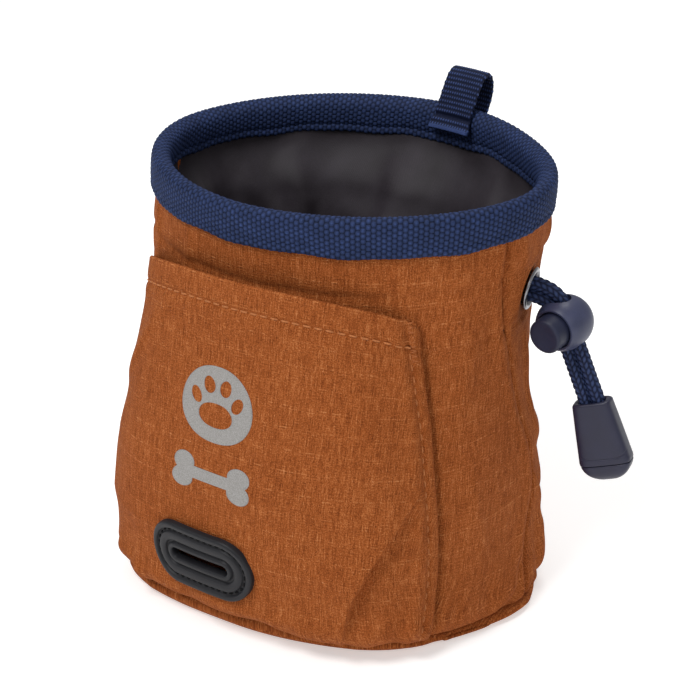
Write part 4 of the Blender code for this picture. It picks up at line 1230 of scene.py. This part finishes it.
def close_ends_at_centre(made):
    """Closes the small ring at the middle of a base."""
    shape = bmesh.new()
    shape.from_mesh(made.data)
    shape.verts.ensure_lookup_table()
    edges = [edge for edge in shape.edges if edge.is_boundary]
    edges = [edge for edge in edges if all(Vector((v.co.x, v.co.y)).length < 12 * MM for v in edge.verts)]
    bmesh.ops.holes_fill(shape, edges=edges, sides=0)
    shape.to_mesh(made.data)
    shape.free()


def lining_folds(z, degrees):
    z, degrees = spread(z, degrees)
    h, a = z / MM, degrees
    out = 0.3 * ripple(a, [(37, 1, 0.5), (21, 0.5, 1.9)]) * smooth(h, 6, 30) * smooth(h, 127, 112)
    out += crease(a, h, [(66, 119), (60, 104), (52, 86), (50, 60)], 5.5, -1.9, 0.3)
    out += crease(a, h, [(40, 117), (34, 100), (36, 78)], 6.5, -1.6)
    out += crease(a, h, [(104, 118), (99, 104), (101, 84), (108, 60)], 6.0, -1.6, -0.3)
    out += crease(a, h, [(140, 117), (132, 100), (130, 76)], 6.0, -1.2, 0.3)
    out += crease(a, h, [(160, 112), (146, 98), (138, 90)], 4.0, -0.7)
    out += crease(a, h, [(120, 98), (88, 92), (62, 84)], 4.5, -0.8)
    out += crease(a, h, [(20, 116), (14, 96), (18, 70)], 6.0, -1.0)
    out += crease(a, h, [(176, 116), (180, 96), (176, 66)], 6.0, -1.0)
    out += crease(a, h, [(270, 116), (276, 96), (268, 60)], 8.0, -1.0)
    out += crease(a, h, [(310, 116), (306, 92), (312, 60)], 7.0, -1.0)
    return 1.8 * out * MM


def make_lining():
    heights = np.linspace(3.6 * MM, SHELL_TOP, 120)
    angles = np.linspace(-180, 180, 361)[:-1]
    table = np.array(LINING_OFFSETS_MM)
    offsets = np.interp(heights / MM, table[:, 0], table[:, 1]) * MM
    kernel = np.ones(7) / 7
    offsets = np.convolve(np.pad(offsets, 3, mode="edge"), kernel, "valid")[:, None]
    a = angles[None, :] + 0 * offsets
    z = heights[:, None] + 0 * a
    points = wall(z, a, offsets + np.minimum(lining_folds(z, (a + 360) % 360), 0.8 * MM))
    uv = closed_uv(points, 60)
    made = sheet("lining_cloth", points, uv, wrap=True)
    thicken(made, FABRIC)
    dress(made, LINING, "pouch", ["lining_wall"])


# ---------------------------------------------------------------- the mouth's binding
BEAD_PITCH, BEAD_ROW, BEAD_RELIEF = 1.45 * MM, 1.5 * MM, 0.68 * MM
BEAD_POINTS, BEAD_ROW_POINTS = 5, 5


def bead_relief(column, row):
    """A lattice of rounded beads, staggered by half a row in every other column."""
    number = np.round(column)
    across = column - number
    up = row + 0.5 * (number % 2)
    up = up - np.round(up)
    return np.sqrt(np.clip(1 - (1.86 * across) ** 2, 0, 1)) * np.sqrt(np.clip(1 - (1.8 * up) ** 2, 0, 1))


def binding_profile():
    """The tape's outer surface from its outer lower edge over the hoop to its inner lower edge: (height, offset)."""
    line = [
        (120.5, 1.15), (123.0, 1.3), (127.0, 1.4), (129.3, 1.3), (130.3, 1.0), (130.9, 0.35), (131.0, -0.4),
        (130.7, -1.3), (130.1, -2.2), (129.2, -2.85), (128.0, -3.15), (126.0, -3.1), (124.2, -2.75), (123.0, -2.25),
        (122.4, -2.1), (121.8, -2.3), (120.5, -2.2),
    ]
    return smooth_profile(np.array(line) * MM, 0.3 * MM)


def make_binding():
    line = binding_profile()
    total = length_of(line)
    rows = int(round(total / BEAD_ROW)) * BEAD_ROW_POINTS
    places = np.linspace(0, total, rows + 1)
    profile = resample(line, places)
    along = np.gradient(profile, axis=0)
    along /= np.linalg.norm(along, axis=1, keepdims=True)
    out_z, out_offset = -along[:, 1], along[:, 0]  # the tape's outward side, in (height, offset)
    rim = wall(RIM_HEIGHT, np.linspace(0, 360, 3601), BINDING_OUT)
    round_it = np.concatenate([[0], np.cumsum(np.linalg.norm(np.diff(rim, axis=0), axis=1))])
    beads = 2 * int(round(round_it[-1] / BEAD_PITCH / 2))
    columns = beads * BEAD_POINTS
    distance = np.arange(columns + 1) / columns * round_it[-1]
    angles = np.interp(distance, round_it, np.linspace(0, 360, 3601))
    column = np.arange(columns) / BEAD_POINTS
    relief = bead_relief(column[None, :], (places / BEAD_ROW)[:, None])
    edge = smooth(np.minimum(places, total - places), 0, 0.7 * MM)[:, None]
    height = BEAD_RELIEF * (relief - 0.55) - 0.55 * MM * (1 - edge)
    wobble = 0.25 * MM * ripple(angles[:-1], [(31, 1, 0.2), (17, 0.6, 1.1)])[None, :]
    a = angles[None, :-1]
    z = profile[:, :1] + out_z[:, None] * height + wobble * smooth(RIM_HEIGHT - profile[:, :1], 0, 6 * MM)
    offset = profile[:, 1:] + out_offset[:, None] * height
    # The sewing line presses the tape down
    pressed = bell(places, 2.4 * MM, 0.5 * MM) + bell(places, total - 2.4 * MM, 0.5 * MM)
    offset = offset - 0.25 * MM * pressed[:, None] * out_offset[:, None]
    points = wall_over(z, a, offset)
    uv = np.stack(np.broadcast_arrays(distance[None, :], places[:, None]), -1) / MM
    made = sheet("rim_binding_tape", points, uv, wrap=True, values=relief)
    flip(made)
    thicken(made, 0.5 * MM)
    dress(made, WEBBING, "pouch", ["rim_binding"])
    for name, height_mm, offset_mm in (("binding_stitches_outside", 2.4, 1.28), ("binding_stitches_inside", 2.0, -2.12)):
        angle = np.linspace(0, 360, 721)
        low = RIM_HEIGHT - BINDING_DROP + height_mm * MM
        line = wall_over(low, angle, offset_mm * MM)
        ups = line - wall_over(low, angle, 0)
        ups /= np.linalg.norm(ups, axis=1, keepdims=True)
        made = stitches(name, line, ups, 3.0 * MM, 0.72, 0.17 * MM, 0.0)
        dress(made, NAVY_THREAD, "pouch")


def wall_over(z, degrees, offset):
    """The wall's shape carried a little above the rim, so that the tape can fold over it."""
    z, degrees, offset = spread(z, degrees, offset)
    points = wall(np.minimum(z, RIM_HEIGHT), degrees, offset)
    points[..., 2] += np.maximum(z - RIM_HEIGHT, 0)
    return points


def flip(made):
    made.data.flip_normals()
    return made


# ---------------------------------------------------------------- the hanging loop
RIB_PITCH, THREAD_PITCH = 1.5 * MM, 0.9 * MM


def make_loop():
    line = smooth_profile(np.array(LOOP_FOOT_MM + LOOP_LINE_MM[3:]) * MM, 0.25 * MM)
    total = length_of(line)
    rows = int(total / RIB_PITCH) * 6
    places = np.linspace(0, total, rows + 1)
    middle = resample(line, places)
    along = np.gradient(middle, axis=0)
    along /= np.linalg.norm(along, axis=1, keepdims=True)
    normal = np.stack([-along[:, 1], along[:, 0]], -1)  # (Y, Z), to the loop's outer side
    low, high = LOOP_ANGLE - LOOP_HALF_ANGLE, LOOP_ANGLE + LOOP_HALF_ANGLE
    across = wall(RIM_HEIGHT, np.linspace(high, low, 73))
    centre = wall(RIM_HEIGHT, LOOP_ANGLE)[1]
    bow = across[:, 1] - centre
    width = float(across[-1, 0] - across[0, 0])
    x = across[:, 0]
    run = x - x[0]
    edge = smooth(np.minimum(run, width - run), 0, 0.5 * MM)
    rib = 0.5 + 0.5 * np.cos(2 * math.pi * places / RIB_PITCH)
    count = np.round(places / RIB_PITCH)
    bead = 0.5 + 0.5 * np.cos(2 * math.pi * (run[None, :] / THREAD_PITCH + 0.5 * (count % 2)[:, None]))
    sewn, folded = bell(places, LOOP_SEWN, 0.55 * MM), smooth(places, 1.6 * MM, 0.9 * MM)
    # relief shapes the ribs and also feeds the webbing's colour: the rib tops and the folded end are painted lighter, a
    # painted highlight, and the sewn line darker, a painted shade.
    relief = rib[:, None] ** 0.7 * (0.3 + 0.7 * bead) * (1 - 0.7 * sewn[:, None])
    relief = np.maximum(relief, 0.8 * folded[:, None])
    rings = []
    half = LOOP_TAPE / 2 * (1 - 0.45 * sewn + 0.5 * folded)[:, None]
    flare = 1 + 0.10 * smooth(places, LOOP_SEWN, 0.5 * LOOP_SEWN)[:, None]
    for side in (1, -1):
        height = side * (half * (0.35 + 0.65 * edge)[None, :] + 0.30 * MM * (relief - 0.6))
        height = height - 0.5 * MM * sewn[:, None]
        y = middle[:, :1] + bow[None, :] + normal[:, :1] * height
        z = middle[:, 1:] + normal[:, 1:] * height + 0 * bow[None, :]
        spread_x = x.mean() + (x - x.mean())[None, :] * flare
        face = np.stack([spread_x + 0 * y, y, z], -1)
        rings.append(face if side > 0 else face[:, ::-1])
    points = np.concatenate(rings, 1)
    values = np.concatenate([relief, relief[:, ::-1]], 1)
    u = np.concatenate([run, width + (width - run[::-1]), [2 * width]]) / MM
    uv = np.stack(np.broadcast_arrays(u[None, :], places[:, None] / MM), -1)
    made = sheet("rim_loop_webbing", points, uv, wrap=True, values=values)
    close_ends(made)
    dress(made, LOOP_WEBBING, "pouch", ["rim_loop"])


# ---------------------------------------------------------------- the pocket
# The folded side edge: how far in from the pocket's border, and how far off the bag, in millimetres
POCKET_BORDER_MM = [
    (2.2, 0.35), (1.2, 0.25), (0.5, 0.35), (0.12, 0.65), (0.0, 1.0), (0.1, 1.35), (0.4, 1.65), (0.9, 1.83), (1.6, 1.9),
]


def make_pocket():
    inset, lift = (np.array(POCKET_BORDER_MM) * MM).T
    inner = np.linspace(-1, 1, 381)[1:-1] * (1 - 2.2 / 66)
    turn = np.concatenate([-1 + inset / (66 * MM), inner, 1 - inset[::-1] / (66 * MM)])[None, :]
    lifts = np.concatenate([lift, POCKET_EDGE_LIFT + 0 * inner, lift[::-1]])[None, :]
    top = pocket_top(turn)
    fold = 0.6 * MM
    rows = []
    for share in np.concatenate([np.linspace(0, 0.06, 16)[:-1], np.linspace(0.06, 1, 210)]):
        z = POCKET_BOTTOM - 0.7 * MM + (top - fold - POCKET_BOTTOM + 0.7 * MM) * share
        rows.append(pocket(z, turn, 0, lifts))
    for angle in np.linspace(0, math.pi, 9)[1:]:
        out = -fold + fold * math.cos(angle)
        rows.append(pocket(top - fold + fold * math.sin(angle), turn, out, lifts))
    for down in np.linspace(0, HEM, 14)[1:]:
        rows.append(pocket(top - fold - down, turn, -2 * fold - 0.15 * MM * math.sin(down / HEM * math.pi), lifts))
    points = np.array([row[0] for row in rows])
    uv = arc_uv(points)
    made = sheet("pocket_cloth", points, uv)
    cut_port_window(made)
    thicken(made, FABRIC)
    dress(made, RUST, "pouch", ["front_pocket"])
    make_pocket_stitches()
    make_print()


def cut_port_window(made):
    """The cloth is open behind the dispenser's slot."""
    shape = bmesh.new()
    shape.from_mesh(made.data)
    inverse = PORT.inverted()
    run, radius = (SLOT_LENGTH - SLOT_WIDTH) / 2, SLOT_WIDTH / 2 + 0.6 * MM
    doomed = []
    for face in shape.faces:
        local = inverse @ face.calc_center_median()
        away = math.hypot(max(abs(local.x) - run, 0), local.y)
        if abs(local.z) < 6 * MM and away < radius:
            doomed.append(face)
    bmesh.ops.delete(shape, geom=doomed, context="FACES")
    shape.to_mesh(made.data)
    shape.free()


def pocket_normal(z, turn):
    return normals_of(lambda a, b: pocket(a, b), z, turn, 0.3 * MM, 0.004)


def make_pocket_stitches():
    turn = np.linspace(-0.985, 0.945, 500)
    z = pocket_top(turn) - HEM
    made = stitches("pocket_hem_stitches", pocket(z, turn), pocket_normal(z, turn), 3.2 * MM, 0.8, 0.3 * MM, 0.3)
    dress(made, RUST_THREAD, "pouch")
    for name, side in (("pocket_right_stitches", 1), ("pocket_left_stitches", -1)):
        turn = side * (1 - SIDE_STITCH / 66) + 0 * turn
        z = np.linspace(7 * MM, pocket_top(turn[:1])[0] - 9 * MM, 500)
        made = stitches(name, pocket(z, turn), pocket_normal(z, turn), 3.4 * MM, 0.66, 0.24 * MM, -0.1)
        dress(made, RUST_THREAD, "pouch")
        make_bartack(name.replace("stitches", "bartack"), side)


def make_bartack(name, side):
    """A dense zigzag that holds the pocket's top corner."""
    count, length, half = 17, 12.0 * MM, 1.2 * MM
    starts, ends, ups = [], [], []
    for number in range(count):
        down = 0.9 * MM + length * number / count
        turns = [side * (1 - (3.1 * MM + sign * half) / (66 * MM)) for sign in (1, -1)]
        slant = 0.55 * MM if number % 2 else -0.25 * MM
        heights = [float(pocket_top(np.array(turns[0]))) - down - extra for extra in (0, slant)]
        starts.append(pocket(heights[0], turns[0]))
        ends.append(pocket(heights[1], turns[1]))
        ups.append(pocket_normal(np.array(heights[0]), np.array(turns[0])))
    made = threads(name, starts, ends, ups, 0.2 * MM, 0.35)
    dress(made, TACK_THREAD, "pouch")


# ---------------------------------------------------------------- the print
PRINT_TURN, PRINT_HEIGHT = 0.005, 60.0 * MM
PRINT_STEP = 0.9 * MM


def ellipse(centre, radii, tilt=0.0, count=40):
    angle = np.linspace(0, 2 * math.pi, count + 1)[:-1]
    x, y = radii[0] * np.cos(angle), radii[1] * np.sin(angle)
    c, s = math.cos(math.radians(tilt)), math.sin(math.radians(tilt))
    return [(centre[0] + a * c - b * s, centre[1] + a * s + b * c) for a, b in zip(x, y)]


def arc(middle, radius, start, stop, count=16):
    angles = np.radians(np.linspace(start, stop, count))
    return [(middle[0] + radius * math.cos(a), middle[1] + radius * math.sin(a)) for a in angles]


def make_print():
    """A generic mark in reflective ink: a paw on a round patch, over a bone."""
    curve = bpy.data.curves.new("print_outline", "CURVE")
    curve.dimensions, curve.fill_mode = "2D", "BOTH"
    outlines = [ellipse((0, 14.6), (9.9, 11.3), count=72), ellipse((0, 11.4), (4.1, 3.6))]
    for x, y, tilt in ((-5.4, 16.0, 24), (-2.0, 20.0, 8), (2.0, 20.0, -8), (5.4, 16.0, -24)):
        outlines.append(ellipse((x, y), (1.5, 2.5), tilt, 28))
    outlines.append(bone_points((0, -7.4), 6.6, 3.0, 1.8))
    for outline in outlines:
        spline = curve.splines.new("POLY")
        spline.points.add(len(outline) - 1)
        for point, (x, y) in zip(spline.points, outline):
            point.co = (x, y, 0, 1)
        spline.use_cyclic_u = True
    holder = add("print_outline", curve)
    bpy.context.view_layer.update()
    mesh = bpy.data.meshes.new_from_object(holder.evaluated_get(bpy.context.evaluated_depsgraph_get()))
    bpy.data.objects.remove(holder)
    shape = bmesh.new()
    shape.from_mesh(mesh)
    bmesh.ops.remove_doubles(shape, verts=shape.verts, dist=1e-4)
    step = PRINT_STEP / MM
    for axis in (0, 1):
        for number in range(-26, 27):
            place, normal = [0, 0, 0], [0, 0, 0]
            place[axis], normal[axis] = number * step, 1
            geometry = shape.verts[:] + shape.edges[:] + shape.faces[:]
            bmesh.ops.bisect_plane(shape, geom=geometry, plane_co=place, plane_no=normal)
    bmesh.ops.triangulate(shape, faces=shape.faces)
    flat = np.array([vert.co[:2] for vert in shape.verts])
    turn = PRINT_TURN + flat[:, 0] / 66.0
    z = PRINT_HEIGHT + flat[:, 1] * MM
    points = pocket(z, turn) + pocket_normal(z, turn) * 0.09 * MM
    for vert, point in zip(shape.verts, points):
        vert.co = point
    bmesh.ops.recalc_face_normals(shape, faces=shape.faces)
    made_mesh = bpy.data.meshes.new("pocket_print")
    shape.to_mesh(made_mesh)
    shape.free()
    shade_smooth(made_mesh)
    made = add("pocket_print", made_mesh)
    face_out(made)
    thicken(made, 0.05 * MM)
    dress(made, INK, "pouch")


def bone_points(centre, half_length, knob, half_shaft):
    """A bone's outline: its top right knob, then clockwise round the other three."""
    reach = knob * 0.8
    tuck = math.degrees(math.asin((reach - half_shaft) / knob))
    notch = math.degrees(math.asin(reach / knob))
    quarter = arc((half_length, reach), knob, 180 + tuck, -notch, 22)
    right = quarter + [(x, -y) for x, y in reversed(quarter)]
    outline = right + [(-x, -y) for x, y in right]
    return [(centre[0] + x, centre[1] + y) for x, y in outline]


def face_out(made):
    """Turns a thin piece's faces away from the bag's middle."""
    mesh = made.data
    total = sum((Vector((p.center.x, p.center.y, 0)).dot(p.normal) for p in mesh.polygons))
    if total < 0:
        mesh.flip_normals()


# ---------------------------------------------------------------- the dispenser
def port_frame():
    """X along the slot and Z out of the pocket, as in the CAD, on the pocket's plain shape."""

    def plain(z, turn):
        stand_off = np.interp(z / MM, *np.array(POCKET_STAND_OFF_MM, float).T) * MM
        return wall(z, pocket_angle(z, turn), POCKET_EDGE_OFFSET + stand_off * (1 - abs(turn) ** 3))

    step = 0.5 * MM
    along = plain(PORT_HEIGHT, PORT_TURN + 0.1) - plain(PORT_HEIGHT, PORT_TURN - 0.1)
    up = plain(PORT_HEIGHT + step, PORT_TURN) - plain(PORT_HEIGHT - step, PORT_TURN)
    return frame_of(plain(PORT_HEIGHT, PORT_TURN), along, np.cross(along, up))


PORT = port_frame()


def port_bed():
    """How the pocket's cloth lies under the dispenser, as a smooth bowl fitted to it in the dispenser's axes."""
    turn, z = np.meshgrid(np.linspace(-0.3, 0.24, 28), np.linspace(12, 33, 22) * MM)
    local = placed(pocket(z, turn).reshape(-1, 3) - np.array(PORT.translation), PORT.to_3x3().transposed().to_4x4())
    x, y = local[:, 0], local[:, 1]
    terms = np.stack([np.ones_like(x), x, y, x * x, x * y, y * y], -1)
    return np.linalg.lstsq(terms, local[:, 2], rcond=None)[0]


PORT_COLUMNS = 240
# Millimetres in from the edge, and height: rim, stitched groove, plateau, groove, inner ring, slot
PORT_PROFILE = [
    (0.0, -0.3), (0.0, 1.0), (0.12, 1.45), (0.45, 1.78), (0.85, 1.85), (1.6, 1.85), (1.8, 1.72), (1.95, 1.3),
    (2.15, 1.12), (2.9, 1.12), (3.1, 1.3), (3.25, 1.78), (3.5, 1.95), (4.5, 2.0), (5.55, 1.95), (5.8, 1.8),
    (5.95, 1.3), (6.15, 1.1), (6.7, 1.1), (6.9, 1.3), (7.05, 1.85), (7.3, 2.05), (8.1, 2.05), (8.4, 1.9),
    (8.55, 1.6), (8.55, 0.4), (8.55, -0.5),
]


def stadium_ring(inset, columns):
    """Points round a plate with round ends, drawn in by inset, with the outline's share round it."""
    radius = PORT_WIDTH / 2 - inset
    run = (PORT_LENGTH - PORT_WIDTH) / 2 + (SLOT_LENGTH - SLOT_WIDTH - PORT_LENGTH + PORT_WIDTH) / 2 * inset / (8.55 * MM)
    outer, outer_run = PORT_WIDTH / 2, (PORT_LENGTH - PORT_WIDTH) / 2
    straight, turn = 2 * outer_run, math.pi * outer
    whole = 2 * (straight + turn)
    found = []
    for step in range(columns):
        s = whole * step / columns
        if s < straight:
            found.append((-run + 2 * run * s / straight, -radius))
        elif s < straight + turn:
            a = -math.pi / 2 + (s - straight) / outer
            found.append((run + radius * math.cos(a), radius * math.sin(a)))
        elif s < 2 * straight + turn:
            found.append((run - 2 * run * (s - straight - turn) / straight, radius))
        else:
            a = math.pi / 2 + (s - 2 * straight - turn) / outer
            found.append((-run + radius * math.cos(a), radius * math.sin(a)))
    return np.array(found)


def on_port(flat, height, bed):
    x, y = flat[:, 0], flat[:, 1]
    lie = bed[0] + bed[1] * x + bed[2] * y + bed[3] * x * x + bed[4] * x * y + bed[5] * y * y
    return placed(np.stack([x, y, lie + height], -1), PORT)


def make_port():
    bed = port_bed()
    rows = [on_port(stadium_ring(inset * MM, PORT_COLUMNS), height * MM, bed) for inset, height in PORT_PROFILE]
    rows.append(rows[0])
    made = sheet("dispenser_patch", np.array(rows), wrap=True)
    weld(made)
    shade_smooth(made.data, 50)
    dress(made, RUBBER, "pouch", ["dispenser_port"])
    line = on_port(stadium_ring(2.5 * MM, 480), 1.16 * MM, bed)
    line = np.concatenate([line, line[:1]])
    ups = np.tile(np.array(PORT.to_3x3() @ Vector((0, 0, 1))), (len(line), 1))
    made = stitches("dispenser_stitches", line, ups, 2.3 * MM, 0.7, 0.24 * MM, 0.2)
    dress(made, BLACK_THREAD, "pouch")


# ---------------------------------------------------------------- all of the object
STRANDS = make_strands()
make_hidden_run()
LOCK_BODY, LOCK_BUTTON = make_cord_lock()
END_BODY, END_CAP = make_cord_end()
for strand, line in STRANDS:
    start = int(np.argmin(np.linalg.norm(line - np.array(EYELET_POINT), axis=1)))
make_eyelet()
make_shell()
make_base()
make_lining()
make_binding()
make_loop()
make_pocket()
make_port()
make_spring()
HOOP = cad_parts["rim_hoop_wire"].data
HOOP.materials.clear()
HOOP.materials.append(STEEL)


# ---------------------------------------------------------------- the studio
def area_light(name, place, size, energy, colour=(1, 1, 1)):
    data = bpy.data.lights.new(name, "AREA")
    data.shape, data.size, data.energy, data.color = "DISK", size, energy, colour
    lamp = bpy.data.objects.new(name, data)
    lamp.location = place
    aim = Vector((0, 0, 0.07)) - Vector(place)
    lamp.rotation_euler = aim.to_track_quat("-Z", "Y").to_euler()
    bpy.context.scene.collection.objects.link(lamp)


def make_studio():
    shape = bmesh.new()
    bmesh.ops.create_grid(shape, x_segments=2, y_segments=2, size=4)
    mesh = bpy.data.meshes.new("floor")
    shape.to_mesh(mesh)
    shape.free()
    floor = add("floor", mesh)
    floor.location.z = CAD_BOX[0].z - 0.2 * MM
    look = Look("floor_white", (0.78, 0.78, 0.775), 0.95)
    look.set("Specular IOR Level", 0.1)
    look.set("Emission Color", (1, 1, 0.995, 1))
    look.set("Emission Strength", 0.46)
    mesh.materials.append(look.material)

    world = bpy.data.worlds.new("studio")
    bpy.context.scene.world = world
    world.use_nodes = True
    nodes, links = world.node_tree.nodes, world.node_tree.links
    back = nodes["Background"]
    back.inputs["Color"].default_value = (1.0, 1.0, 1.0, 1)
    ray = nodes.new("ShaderNodeLightPath")
    strength = nodes.new("ShaderNodeMapRange")
    strength.inputs["To Min"].default_value = 0.40
    strength.inputs["To Max"].default_value = 1.0
    links.new(ray.outputs["Is Camera Ray"], strength.inputs["Value"])
    links.new(strength.outputs[0], back.inputs["Strength"])

    area_light("key_light", (-0.10, -0.80, 1.20), 0.55, 11.0)
    area_light("fill_light", (0.95, -0.45, 0.75), 0.6, 1.5)
    area_light("top_light", (-0.1, 0.35, 1.2), 0.6, 5.0)
    bpy.context.scene.view_settings.view_transform = "Standard"


make_studio()


def corners(box):
    return [list(corner) for corner in box]
